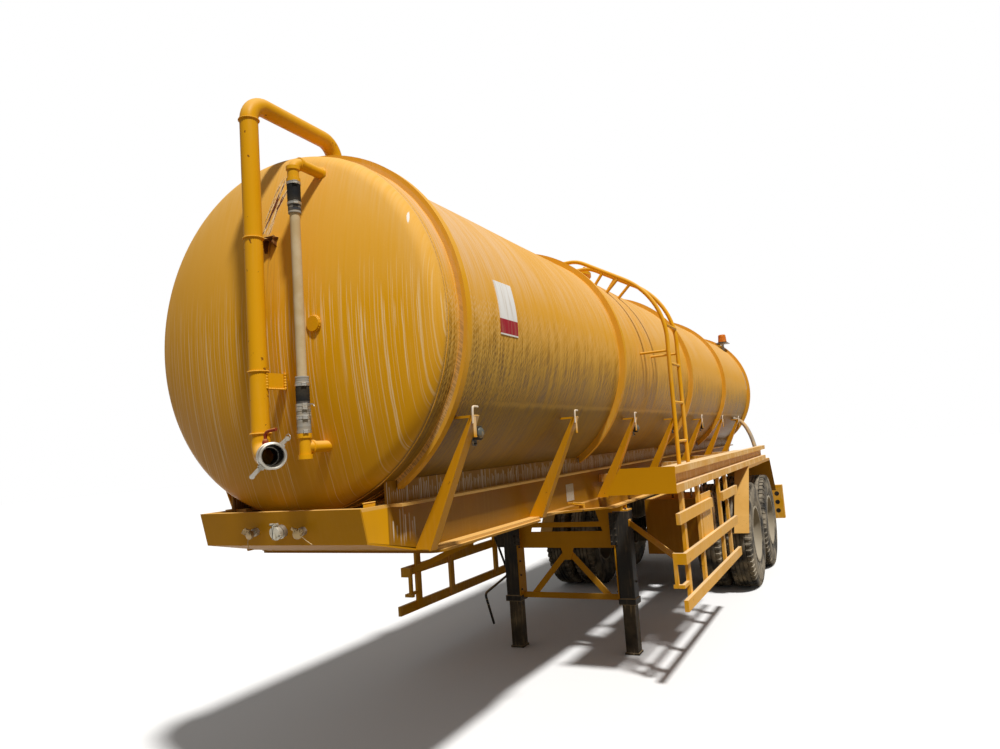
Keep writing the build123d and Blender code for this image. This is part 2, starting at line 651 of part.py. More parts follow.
with BuildPart() as leg_bracing:
    with BuildSketch(cross_plane(leg_x)):
        with Locations((0, cross_plate_bottom_z)):
            Rectangle(
                2 * leg_inner_face_y,
                cross_plate_top_z - cross_plate_bottom_z,
                align=(Align.CENTER, Align.MIN),
            )
        with Locations((0, upper_bar_z)):
            Rectangle(2 * leg_inner_face_y, upper_bar_height)
        with Locations((0, low_bar_z)):
            Rectangle(2 * collar_inner_y, low_bar_height, align=(Align.CENTER, Align.MIN))
        with BuildLine():
            Polyline(
                (-lug_half, cross_plate_bottom_z),
                (lug_half, cross_plate_bottom_z),
                (lug_half / 2, lug_bottom_z),
                (-lug_half / 2, lug_bottom_z),
                close=True,
            )
        make_face()
    extrude(amount=brace_plate / 2, both=True)
    with BuildSketch(Plane.XY.offset(low_bar_z)):
        with Locations((leg_x, 0)):
            Rectangle(low_bar_height, 2 * collar_inner_y, align=(Align.MAX, Align.CENTER))
    extrude(amount=brace_plate)
    for side in sides:
        diagonal_drop = diagonal_high_z - diagonal_low_z
        run = hypot(diagonal_low_y, diagonal_drop)
        across = (diagonal_width / 2 * diagonal_drop / run, diagonal_width / 2 * diagonal_low_y / run)
        with BuildSketch(cross_plane(leg_x - brace_plate)):
            with BuildLine():
                Polyline(
                    (-side * across[0], diagonal_high_z - across[1]),
                    (side * across[0], diagonal_high_z + across[1]),
                    (side * (diagonal_low_y + across[0]), diagonal_low_z + across[1]),
                    (side * (diagonal_low_y - across[0]), diagonal_low_z - across[1]),
                    close=True,
                )
            make_face()
        extrude(amount=brace_plate / 2, both=True)
        with BuildSketch(cross_plane(leg_x)):
            with BuildLine():
                Polyline(
                    (side * leg_inner_face_y, cross_plate_bottom_z),
                    (side * leg_inner_face_y, frame_bottom_z),
                    (side * bracket_top_y, frame_bottom_z),
                    (side * bracket_low_y, cross_plate_bottom_z),
                    close=True,
                )
            make_face()
        extrude(amount=brace_plate / 2, both=True)
        bolted_foot_z = leg_collar_z + leg_collar_height
        with BuildSketch(side_plane(side * leg_inner_face_y)):
            with Locations((leg_x, bolted_foot_z)):
                Rectangle(leg_outer, frame_bottom_z - bolted_foot_z, align=(Align.CENTER, Align.MIN))
        extrude(amount=side * brace_plate)
        with BuildSketch(Plane.XY.offset(leg_top_z)):
            with Locations((leg_x, side * leg_y)):
                Rectangle(leg_outer, leg_outer)
        extrude(amount=brace_plate)
        for face in (-1, 1):
            with BuildSketch(cross_plane(leg_x + face * (leg_outer - brace_plate) / 2)):
                with Locations((side * (leg_inner_face_y + flange_edge_y) / 2, leg_top_z)):
                    Rectangle(
                        flange_edge_y - leg_inner_face_y,
                        frame_bottom_z - leg_top_z,
                        align=(Align.CENTER, Align.MIN),
                    )
            extrude(amount=brace_plate / 2, both=True)
        with BuildSketch(side_plane(side * leg_side_y)):
            with Locations((stay_start_x, stay_start_z)):
                Rectangle(stay_lug_width, stay_lug_width)
        extrude(amount=-side * brace_plate)
        stay_start = (stay_start_x, side * leg_side_y, stay_start_z)
        stay_end = (guard_return_x, side * stay_end_y, stay_end_z - guard_drops[side])
        stay_line = Vector(*stay_end) - Vector(*stay_start)
        with BuildSketch(Plane(origin=stay_start, x_dir=(-stay_line.Y, stay_line.X, 0), z_dir=stay_line)):
            Rectangle(stay_thickness, stay_width)
        extrude(amount=stay_line.length)
        with BuildSketch(Plane.XY.offset(leg_collar_z)):
            with Locations((leg_x, side * leg_y)):
                Rectangle(leg_outer, leg_outer)
        extrude(amount=leg_top_z - leg_collar_z, mode=Mode.SUBTRACT)
        with BuildSketch(cross_plane(guard_return_x - fit)):
            with Locations((side * stay_end_y, stay_end_z - guard_drops[side])):
                Rectangle(2 * stay_width, 2 * stay_width)
        extrude(amount=guard_thickness, mode=Mode.SUBTRACT)
save(leg_bracing, "leg_bracing")

# Gearbox on the right leg with its folded crank. Each crank row is a distance
# ahead of the leg's middle and a height.
gearbox_depth = 70.0
gearbox_z = 980.0
gearbox_length = 120.0
gearbox_height = 170.0
gearbox_corner = 25.0
crank_radius = 11.0
crank_y = -(leg_side_y + gearbox_depth + 45.0)
crank_bends = [30.0, 40.0, 30.0]
crank_row = [(0.0, gearbox_z), (-225.0, 600.0), (270.0, 520.0), (140.0, 225.0)]
crank_start = (leg_x, -(leg_side_y + gearbox_depth), gearbox_z)
crank_points = [crank_start] + [(leg_x + ahead, crank_y, z) for ahead, z in crank_row]
with BuildPart() as leg_gearbox:
    with BuildSketch(side_plane(-leg_side_y)):
        with Locations((leg_x, gearbox_z)):
            RectangleRounded(gearbox_length, gearbox_height, gearbox_corner)
    extrude(amount=gearbox_depth)
    with BuildLine() as crank_path:
        FilletPolyline(crank_points, radius=crank_bends)
    with BuildSketch(Plane(origin=crank_points[0], z_dir=(0, -1, 0))):
        Circle(crank_radius)
    sweep(path=crank_path.line)
save(leg_gearbox, "leg_gearbox")

# Wheels. Each end of an axle carries a twin: two tyres, two rims that meet at a
# shared disc, a hub and a brake drum, all turned about the axle's line.
tyre_outer_y = half_width - tyre_width / 2
tyre_inner_y = tyre_outer_y - dual_spacing
disc_y = (tyre_outer_y + tyre_inner_y) / 2
bead_half = tyre_bead_width / 2
bulge_radius = (tyre_bead_radius + tyre_radius) / 2
tread_half = tyre_width / 2 - 22.0


def wheel_plane(x):
    """Section plane through an axle: local x is +Y and local y is distance from the axle."""
    return Plane(origin=(x, 0, tyre_radius), x_dir=(0, 1, 0), z_dir=(1, 0, 0))


def tyre_outline(side, centre_y, face):
    """One tyre's section: a full sidewall on the face that shows and a flat one on the other."""
    full = face * tyre_width / 2
    points = [
        (-face * bead_half, tyre_bead_radius),
        (face * bead_half, tyre_bead_radius),
        (full, bulge_radius + 40),
        (face * tread_half, tyre_radius),
        (-face * tread_half, tyre_radius),
    ]
    return [(side * (centre_y + y), r) for y, r in points]


drum_inner_y = disc_y - disc_thickness - drum_width
hand_hole_circle = (drum_radius + tyre_bead_radius - rim_thickness) / 2
for axle_name, axle_setback in axle_setbacks.items():
    axle_x = front_ring_x - axle_setback
    for side, side_name in ((1, "left"), (-1, "right")):
        wheel_axis = Axis((axle_x, 0, tyre_radius), (0, 1, 0))
        with BuildPart() as tyres:
            for centre_y, face in ((tyre_outer_y, 1), (tyre_inner_y, -1)):
                with BuildSketch(wheel_plane(axle_x)):
                    with BuildLine():
                        Polyline(tyre_outline(side, centre_y, face), close=True)
                    make_face()
                revolve(axis=wheel_axis)
        save(tyres, f"tyres_{axle_name}_{side_name}")
        with BuildPart() as rims:
            for centre_y, face in ((tyre_outer_y, 1), (tyre_inner_y, -1)):
                seat = tyre_bead_radius - fit
                barrel = [
                    (disc_y, seat - rim_thickness),
                    (disc_y, seat),
                    (centre_y + face * (bead_half + rim_clearance), seat),
                    (centre_y + face * (bead_half + rim_clearance), seat + rim_lip_height),
                    (centre_y + face * (bead_half + rim_clearance + rim_lip_width), seat + rim_lip_height),
                    (centre_y + face * (bead_half + rim_clearance + rim_lip_width), seat - rim_thickness),
                ]
                with BuildSketch(wheel_plane(axle_x)):
                    with BuildLine():
                        Polyline([(side * y, r) for y, r in barrel], close=True)
                    make_face()
                revolve(axis=wheel_axis)
            with BuildSketch(wheel_plane(axle_x)):
                with BuildLine():
                    Polyline(
                        [
                            (side * y, r)
                            for y, r in (
                                (drum_inner_y, drum_radius - drum_wall),
                                (drum_inner_y, drum_radius),
                                (disc_y - disc_thickness, drum_radius),
                                (disc_y - disc_thickness, tyre_bead_radius - rim_thickness),
                                (disc_y + disc_thickness, tyre_bead_radius - rim_thickness),
                                (disc_y + disc_thickness, hub_radius),
                                (disc_y + hub_nose - 20, hub_radius - 12),
                                (disc_y + hub_nose, 70),
                                (disc_y + hub_nose, spindle_radius + bearing_gap),
                                (disc_y - 80, spindle_radius + bearing_gap),
                                (disc_y - 80, hub_radius - 20),
                                (disc_y - disc_thickness - drum_wall, hub_radius - 20),
                                (disc_y - disc_thickness - drum_wall, drum_radius - drum_wall),
                            )
                        ],
                        close=True,
                    )
                make_face()
            revolve(axis=wheel_axis)
            cap_plane = Plane(origin=(axle_x, side * (disc_y + hub_nose), tyre_radius), z_dir=(0, side, 0))
            with BuildSketch(cap_plane):
                Circle(hub_cap_radius)
            extrude(amount=hub_cap_length)
            disc_plane = Plane(origin=(axle_x, side * disc_y, tyre_radius), z_dir=(0, side, 0))
            with BuildSketch(disc_plane):
                with PolarLocations(hand_hole_circle, hand_hole_count):
                    Circle(hand_hole_radius)
            extrude(amount=disc_thickness + 1, both=True, mode=Mode.SUBTRACT)
        save(rims, f"rims_{axle_name}_{side_name}")

# Axles: a square beam with a spindle at each end, and a backing plate that
# closes each brake drum.
axle_beam = 140.0
axle_beam_end_y = 560.0
spindle_end_y = disc_y + hub_nose - 6.0
backing_gap = 6.0
backing_thickness = 8.0
spindle_root_radius = 62.0
hub_inner_y = disc_y - 80.0
spring_y = beam_y
with BuildPart() as axles:
    for axle_setback in axle_setbacks.values():
        axle_x = front_ring_x - axle_setback
        with BuildSketch(side_plane(0)):
            with Locations((axle_x, tyre_radius)):
                RectangleRounded(axle_beam, axle_beam, 18)
        extrude(amount=axle_beam_end_y, both=True)
        for side in sides:
            backing_y = drum_inner_y - backing_gap
            end_plane = Plane(origin=(axle_x, side * axle_beam_end_y, tyre_radius), z_dir=(0, side, 0))
            with BuildSketch(end_plane):
                Circle(spindle_root_radius)
            extrude(amount=hub_inner_y - backing_gap - axle_beam_end_y)
            with BuildSketch(end_plane):
                Circle(spindle_radius)
            extrude(amount=spindle_end_y - axle_beam_end_y)
            with BuildSketch(Plane(origin=(axle_x, side * backing_y, tyre_radius), z_dir=(0, -side, 0))):
                Circle(drum_radius - 4)
            extrude(amount=backing_thickness)
save(axles, "axles")

# Leaf springs over the axles: a stack of curved leaves, shorter towards the
# axle, with a seat block and clamp plates.
leaf_thickness = 15.0
leaf_width = 90.0
leaf_count = 6
leaf_half_spans = [640.0 - 88.0 * i for i in range(leaf_count)]
spring_curve_radius = 2600.0
spring_seat_height = 27.0
spring_seat_z = tyre_radius + axle_beam / 2 + spring_seat_height - 3.0
clamp_length = 190.0
with BuildPart() as leaf_springs:
    for axle_setback in axle_setbacks.values():
        axle_x = front_ring_x - axle_setback
        for side in sides:
            for leaf, half_span in enumerate(leaf_half_spans):
                low_radius = spring_curve_radius - (leaf_count - 1 - leaf) * leaf_thickness
                half_angle = degrees(asin(half_span / spring_curve_radius))
                centre = (axle_x, spring_seat_z + spring_curve_radius)
                with BuildSketch(side_plane(side * spring_y)):
                    with BuildLine():
                        lower = CenterArc(centre, low_radius, 270 - half_angle, 2 * half_angle)
                        high_radius = low_radius - leaf_thickness
                        upper = CenterArc(centre, high_radius, 270 - half_angle, 2 * half_angle)
                        Line(lower @ 0, upper @ 0)
                        Line(lower @ 1, upper @ 1)
                    make_face()
                extrude(amount=leaf_width / 2, both=True)
            with BuildSketch(side_plane(side * spring_y)):
                with Locations((axle_x, tyre_radius + axle_beam / 2)):
                    Rectangle(clamp_length, spring_seat_height, align=(Align.CENTER, Align.MIN))
                with Locations((axle_x, spring_seat_z + leaf_count * leaf_thickness)):
                    Rectangle(clamp_length, 26, align=(Align.CENTER, Align.MIN))
            extrude(amount=leaf_width / 2 + 6, both=True)
save(leaf_springs, "leaf_springs")

# Spring hangers under the beams: fixed ones fore and aft and a rocker between.
hanger_plate = 10.0
hanger_setbacks = {"front": 5470.0, "middle": 6825.0, "rear": 8180.0}
hanger_top_width = 260.0
hanger_low_width = 90.0
hanger_low_z = 800.0
hanger_gap = leaf_width / 2 + 8.0
rocker_half = 170.0
rocker_neck = 26.0
spring_end_radius = spring_curve_radius - leaf_count * leaf_thickness
spring_end_reach = leaf_half_spans[0] * spring_end_radius / spring_curve_radius
rocker_z = spring_seat_z + spring_curve_radius - sqrt(spring_end_radius ** 2 - spring_end_reach ** 2) + fit
with BuildPart() as spring_hangers:
    for hanger_name, hanger_setback in hanger_setbacks.items():
        hanger_x = front_ring_x - hanger_setback
        for side in sides:
            for face in (-1, 1):
                with BuildSketch(side_plane(side * spring_y + face * (hanger_gap + hanger_plate / 2))):
                    with BuildLine():
                        Polyline(
                            (hanger_x - hanger_top_width / 2, frame_bottom_z),
                            (hanger_x + hanger_top_width / 2, frame_bottom_z),
                            (hanger_x + hanger_low_width / 2, hanger_low_z),
                            (hanger_x - hanger_low_width / 2, hanger_low_z),
                            close=True,
                        )
                    make_face()
                extrude(amount=hanger_plate / 2, both=True)
            with BuildSketch(side_plane(side * spring_y)):
                with Locations((hanger_x, hanger_low_z + 40)):
                    Circle(18)
            extrude(amount=hanger_gap + hanger_plate + 14, both=True)
            with BuildSketch(side_plane(side * spring_y)):
                if hanger_name == "middle":
                    with BuildLine():
                        Polyline(
                            (hanger_x - rocker_half, rocker_z + 42),
                            (hanger_x, rocker_z + 110),
                            (hanger_x + rocker_half, rocker_z + 42),
                            (hanger_x + rocker_half, rocker_z),
                            (hanger_x + rocker_neck, rocker_z),
                            (hanger_x + rocker_neck, hanger_low_z + 10),
                            (hanger_x - rocker_neck, hanger_low_z + 10),
                            (hanger_x - rocker_neck, rocker_z),
                            (hanger_x - rocker_half, rocker_z),
                            close=True,
                        )
                    make_face()
                else:
                    with Locations((hanger_x, rocker_z)):
                        Rectangle(hanger_low_width + 60, 40, align=(Align.CENTER, Align.MIN))
            extrude(amount=hanger_gap, both=True)
save(spring_hangers, "spring_hangers")

# Brake chambers behind the axles, and the air tanks that feed them.
chamber_radius = 78.0
chamber_length = 150.0
chamber_y = 300.0
chamber_rise = 20.0
chamber_foot = 90.0
with BuildPart() as brake_chambers:
    for axle_setback in axle_setbacks.values():
        axle_x = front_ring_x - axle_setback
        for side in sides:
            chamber_x = axle_x + axle_beam / 2 + fit
            with BuildSketch(cross_plane(chamber_x)):
                with Locations((side * chamber_y, tyre_radius + chamber_rise)):
                    Rectangle(chamber_foot, chamber_foot)
            extrude(amount=chamber_foot / 2)
            with BuildSketch(cross_plane(chamber_x + chamber_foot / 2)):
                with Locations((side * chamber_y, tyre_radius + chamber_rise)):
                    Circle(chamber_radius)
            extrude(amount=chamber_length, taper=6)
save(brake_chambers, "brake_chambers")

air_tank_radius = 125.0
air_tank_length = 620.0
air_tank_setback = 4750.0
air_tank_y = 210.0
hanger_drop = 40.0
air_tank_z = frame_bottom_z - air_tank_radius - hanger_drop
with BuildPart() as air_tanks:
    for side in sides:
        start_x = front_ring_x - air_tank_setback
        with BuildSketch(Plane(origin=(start_x, side * air_tank_y, air_tank_z), z_dir=(-1, 0, 0))):
            Circle(air_tank_radius)
        extrude(amount=air_tank_length)
    fillet(air_tanks.faces().filter_by(Axis.X).edges(), 40)
    for strap in (0.2, 0.8):
        with BuildSketch(cross_plane(start_x - strap * air_tank_length)):
            with Locations((0, air_tank_z + air_tank_radius + 8)):
                Rectangle(2 * (beam_y - flange_width / 2) + 60, 30)
            with Locations([(side * (beam_y - flange_width / 2), frame_bottom_z) for side in sides]):
                Rectangle(60, hanger_drop, align=(Align.CENTER, Align.MAX))
        extrude(amount=22, both=True)
save(air_tanks, "air_tanks")

# Ladder: two tube rails rise from the left walkway, curve over the shell and
# come down on its top, with rungs between them and short posts to the shell.
ladder_x = front_ring_x - 3165.0
ladder_width = 330.0
rail_radius = 17.0
rung_radius = 12.0
ladder_y = 1132.0
rail_knee_z = 2980.0
rail_top_y = 407.0
rail_top_z = 3396.0
rail_end_y = -40.0
rail_knee_radius = 640.0
rail_top_radius = 260.0
rail_end_radius = 30.0
rung_heights = [1770.0, 2090.0, 2410.0, 2730.0]
post_radius = 13.0
post_angles = [38.4, 46.5]
stay_z = 2515.0
stay_radius = 10.0
ladder_foot = 70.0
seat_depth = 4.0
with BuildPart() as ladder:
    for face in (-1, 1):
        rail_x = ladder_x + face * ladder_width / 2
        rail_points = [
            (rail_x, ladder_y, deck_top_z + fit),
            (rail_x, ladder_y, rail_knee_z),
            (rail_x, rail_top_y, rail_top_z),
            (rail_x, rail_end_y, rail_top_z),
            (rail_x, rail_end_y, tank_axis_z + sqrt(tank_radius ** 2 - rail_end_y ** 2) - seat_depth),
        ]
        with BuildLine() as rail_path:
            FilletPolyline(rail_points, radius=[rail_knee_radius, rail_top_radius, rail_end_radius])
        with BuildSketch(Plane(origin=rail_points[0], z_dir=(0, 0, 1))):
            Circle(rail_radius)
        sweep(path=rail_path.line)
        with BuildSketch(Plane(origin=rail_points[0], z_dir=(0, 0, 1))):
            Rectangle(ladder_foot, ladder_foot)
        extrude(amount=8)
        for post_angle in post_angles:
            post_out = (0, sin(radians(post_angle)), cos(radians(post_angle)))
            post_reach = tank_radius + fit
            post_start = (rail_x, post_reach * post_out[1], tank_axis_z + post_reach * post_out[2])
            with BuildSketch(Plane(origin=post_start, z_dir=post_out)):
                Circle(post_radius)
            extrude(until=Until.NEXT)
        with BuildSketch(Plane(origin=(rail_x, ladder_y, stay_z), z_dir=(0, -1, 0))):
            Circle(stay_radius)
        extrude(amount=ladder_y - sqrt(tank_radius ** 2 - (stay_z - tank_axis_z) ** 2) + seat_depth)
    for rung_z in rung_heights:
        with BuildSketch(Plane(origin=(ladder_x - ladder_width / 2, ladder_y, rung_z), z_dir=(1, 0, 0))):
            Circle(rung_radius)
        extrude(amount=ladder_width)
    add(tank_space.part, mode=Mode.SUBTRACT)
save(ladder, "ladder")

# Manhole on top of the tank: a collar with a flange, and a hinged lid.
manhole_x = front_ring_x - 3650.0
manhole_radius = 250.0
manhole_wall = 8.0
manhole_flange_radius = 292.0
manhole_flange = 14.0
manhole_top_z = 3432.0
lid_dish = 34.0
lid_edge = 16.0
lid_gap = 1.0
hinge_radius = 11.0
hinge_gap = 0.08
hinge_y = -(manhole_flange_radius + 34.0)
hinge_z = manhole_top_z + lid_edge / 2
ear_thickness = 14.0
ear_pitch = 120.0
lid_z = manhole_top_z + lid_gap
with BuildPart() as manhole_collar:
    with BuildSketch(Plane.XY.offset(tank_axis_z + tank_radius / 2)):
        with Locations((manhole_x, 0)):
            Circle(manhole_radius)
            Circle(manhole_radius - manhole_wall, mode=Mode.SUBTRACT)
    extrude(amount=manhole_top_z - tank_axis_z - tank_radius / 2)
    with BuildSketch(Plane.XY.offset(manhole_top_z)):
        with Locations((manhole_x, 0)):
            Circle(manhole_flange_radius)
            Circle(manhole_radius - manhole_wall, mode=Mode.SUBTRACT)
    extrude(amount=-manhole_flange)
    add(tank_space.part, mode=Mode.SUBTRACT)
    for face in (-1, 1):
        with BuildSketch(cross_plane(manhole_x + face * ear_pitch)):
            with BuildLine():
                Polyline(
                    (-manhole_flange_radius * 0.9, manhole_top_z - manhole_flange),
                    (hinge_y - 20, manhole_top_z - manhole_flange),
                    (hinge_y - 20, hinge_z),
                    (hinge_y + 20, hinge_z),
                    (hinge_y + 20, manhole_top_z),
                    (-manhole_flange_radius * 0.9, manhole_top_z),
                    close=True,
                )
            make_face()
            with Locations((hinge_y, hinge_z)):
                Circle(20)
        extrude(amount=ear_thickness / 2, both=True)
    with BuildSketch(cross_plane(manhole_x - ear_pitch)):
        with Locations((hinge_y, hinge_z)):
            Circle(hinge_radius)
    extrude(amount=2 * ear_pitch)
save(manhole_collar, "manhole_collar")

lid_crown = (manhole_radius ** 2 + lid_dish ** 2) / (2 * lid_dish)
lid_angle = 90 - degrees(asin(manhole_radius / lid_crown))
knuckle_length = 60.0
knuckle_offset = ear_pitch - ear_thickness / 2 - knuckle_length / 2 - 5.0
with BuildPart() as manhole_lid:
    with BuildSketch(side_plane(0)):
        with BuildLine():
            Polyline(
                (manhole_x, lid_z),
                (manhole_x + manhole_flange_radius, lid_z),
                (manhole_x + manhole_flange_radius, lid_z + lid_edge),
                (manhole_x + manhole_radius, lid_z + lid_edge),
            )
            CenterArc(
                (manhole_x, lid_z + lid_edge + lid_dish - lid_crown),
                lid_crown,
                lid_angle,
                90 - lid_angle,
            )
            Line((manhole_x, lid_z + lid_edge + lid_dish), (manhole_x, lid_z))
        make_face()
    revolve(axis=Axis((manhole_x, 0, 0), (0, 0, 1)))
    for face in (-1, 1):
        with BuildSketch(cross_plane(manhole_x + face * knuckle_offset)):
            with Locations((hinge_y, hinge_z)):
                Circle(20)
            with Locations((hinge_y, lid_z + 1)):
                Rectangle(-hinge_y - manhole_flange_radius + 30, lid_edge - 2, align=(Align.MIN, Align.MIN))
            with Locations((hinge_y, hinge_z)):
                Circle(hinge_radius + hinge_gap, mode=Mode.SUBTRACT)
        extrude(amount=knuckle_length / 2, both=True)
    with BuildSketch(Plane.XY.offset(lid_z + lid_edge)):
        with Locations((manhole_x, manhole_radius + 10)):
            Rectangle(110, 16)
    extrude(amount=40)
save(manhole_lid, "manhole_lid")

# Beacon on a small plate and post at the rear of the tank's top.
beacon_x = rear_seam_x + 260.0
beacon_y = 622.0
beacon_plate_z = 3216.0
beacon_radius = 66.0
beacon_height = 140.0
beacon_base = 16.0
beacon_plate = (220.0, 190.0, 6.0)
beacon_post = (60.0, 30.0)
with BuildPart() as beacon_bracket:
    with BuildSketch(Plane.XY.offset(beacon_plate_z)):
        with Locations((beacon_x, beacon_y)):
            Rectangle(beacon_plate[0], beacon_plate[1])
    extrude(amount=-beacon_plate[2])
    with BuildSketch(Plane.XY.offset(beacon_plate_z - beacon_plate[2])):
        with Locations((beacon_x, beacon_y)):
            Rectangle(beacon_post[0], beacon_post[1])
    extrude(amount=-(beacon_plate_z - beacon_plate[2] - tank_axis_z - tank_radius / 3))
    add(tank_space.part, mode=Mode.SUBTRACT)
save(beacon_bracket, "beacon_bracket")
with BuildPart() as beacon:
    with BuildSketch(Plane.XY.offset(beacon_plate_z + fit)):
        with Locations((beacon_x, beacon_y)):
            Circle(beacon_radius + 8)
    extrude(amount=beacon_base)
    with BuildSketch(Plane.XY.offset(beacon_plate_z + fit + beacon_base)):
        with Locations((beacon_x, beacon_y)):
            Circle(beacon_radius)
    extrude(amount=beacon_height - beacon_base, taper=5)
    fillet(beacon.faces().sort_by(Axis.Z)[-1].edges(), 18)
save(beacon, "beacon")

# Suction pipe: out of the tank's top, forward over the head, down its front and
# round to the coupling. It has a weld ring at each joint and a pad on the tank.
pipe_radius = 42.0
pipe_wall = 5.0
pipe_y = 102.0
pipe_top_z = 3514.0
pipe_front_x = front_ring_x + 471.0
pipe_back_x = front_ring_x - 140.0
pipe_low_z = 1857.0
pipe_bends = [100.0, 100.0, 70.0]
mouth_angle = 58.0
mouth_reach = 140.0
coupling_length = 72.0
coupling_radius = 54.0
coupling_bore = 47.0
coupling_back = 8.0
weld_ring_radius = pipe_radius + 4.0
weld_ring_height = 8.0
weld_ring_heights = [1960.0, 2237.0, 2851.0, 3417.0]
pipe_pad_radius = 76.0
pipe_pad_height = 12.0
pipe_sink = 30.0
clip_low_z = 2158.0
clip_height = 72.0
clip_back_x = front_ring_x + 300.0
clip_front = (pipe_y + pipe_radius - 10.0, pipe_y + pipe_radius - 2.0)
clip_splay = 15.0
mouth_direction = (cos(radians(mouth_angle)), sin(radians(mouth_angle)), 0)
mouth_x = pipe_front_x + mouth_reach * mouth_direction[0]
mouth_y = pipe_y + mouth_reach * mouth_direction[1]
tank_top_at_pipe = tank_axis_z + sqrt(tank_radius ** 2 - pipe_y ** 2)
pipe_points = [
    (pipe_back_x, pipe_y, tank_top_at_pipe - pipe_sink),
    (pipe_back_x, pipe_y, pipe_top_z),
    (pipe_front_x, pipe_y, pipe_top_z),
    (pipe_front_x, pipe_y, pipe_low_z),
    (mouth_x, mouth_y, pipe_low_z),
]
with BuildPart() as suction_pipe:
    with BuildLine() as pipe_path:
        FilletPolyline(pipe_points, radius=pipe_bends)
    with BuildSketch(Plane(origin=pipe_points[0], z_dir=(0, 0, 1))):
        Circle(pipe_radius)
    sweep(path=pipe_path.line)
    for ring_z in weld_ring_heights:
        with BuildSketch(Plane.XY.offset(ring_z)):
            with Locations((pipe_front_x, pipe_y)):
                Circle(weld_ring_radius)
        extrude(amount=weld_ring_height / 2, both=True)
    with BuildSketch(Plane.XY.offset(tank_top_at_pipe - pipe_sink)):
        with Locations((pipe_back_x, pipe_y)):
            Circle(pipe_pad_radius)
    extrude(amount=pipe_sink + pipe_pad_height)
    with BuildSketch(Plane.XY.offset(clip_low_z)):
        with BuildLine():
            Polyline(
                (pipe_front_x, clip_front[0]),
                (clip_back_x, clip_front[0] + clip_splay),
                (clip_back_x, clip_front[1] + clip_splay),
                (pipe_front_x, clip_front[1]),
                close=True,
            )
        make_face()
    extrude(amount=clip_height)
    with BuildSketch(Plane(origin=pipe_points[0], z_dir=(0, 0, 1))):
        Circle(pipe_radius - pipe_wall)
    sweep(path=pipe_path.line, mode=Mode.SUBTRACT)
    add(tank_space.part, mode=Mode.SUBTRACT)
    add(tank_shell.part, mode=Mode.SUBTRACT)
save(suction_pipe, "suction_pipe")

# Hose coupling at the pipe's lower end: an open socket with two cam arms.
mouth_across = (-mouth_direction[1], mouth_direction[0], 0)
mouth_plane = Plane(origin=pipe_points[-1], x_dir=mouth_across, z_dir=mouth_direction)
mouth_lip = 14.0
mouth_lip_step = 3.0
cam_depth = 42.0
cam_ear = (22.0, 26.0)
arm_width = 14.0
arm_thickness = 9.0
cam_arms = [{"turn": 45.0, "length": 50.0}, {"turn": 225.0, "length": 66.0}]
with BuildPart() as suction_coupling:
    with BuildSketch(mouth_plane):
        Circle(coupling_radius)
        Circle(coupling_bore, mode=Mode.SUBTRACT)
    extrude(amount=coupling_length)
    with BuildSketch(mouth_plane):
        Circle(coupling_radius)
        Circle(pipe_radius - pipe_wall, mode=Mode.SUBTRACT)
    extrude(amount=coupling_back)
    with BuildSketch(mouth_plane.offset(coupling_length - mouth_lip)):
        Circle(coupling_radius + mouth_lip_step)
        Circle(coupling_bore, mode=Mode.SUBTRACT)
    extrude(amount=mouth_lip)
    for arm in cam_arms:
        with BuildSketch(mouth_plane.offset(coupling_length - cam_depth)):
            with PolarLocations(coupling_radius + mouth_lip_step, 1, start_angle=arm["turn"]):
                Rectangle(cam_ear[0], cam_ear[1])
            Circle(coupling_bore + mouth_lip_step, mode=Mode.SUBTRACT)
        extrude(amount=cam_ear[0])
        with BuildSketch(mouth_plane.offset(coupling_length - cam_depth)):
            with PolarLocations(coupling_radius, 1, start_angle=arm["turn"]):
                Rectangle(arm["length"], arm_width, align=(Align.MIN, Align.CENTER))
        extrude(amount=arm_thickness)
save(suction_coupling, "suction_coupling")

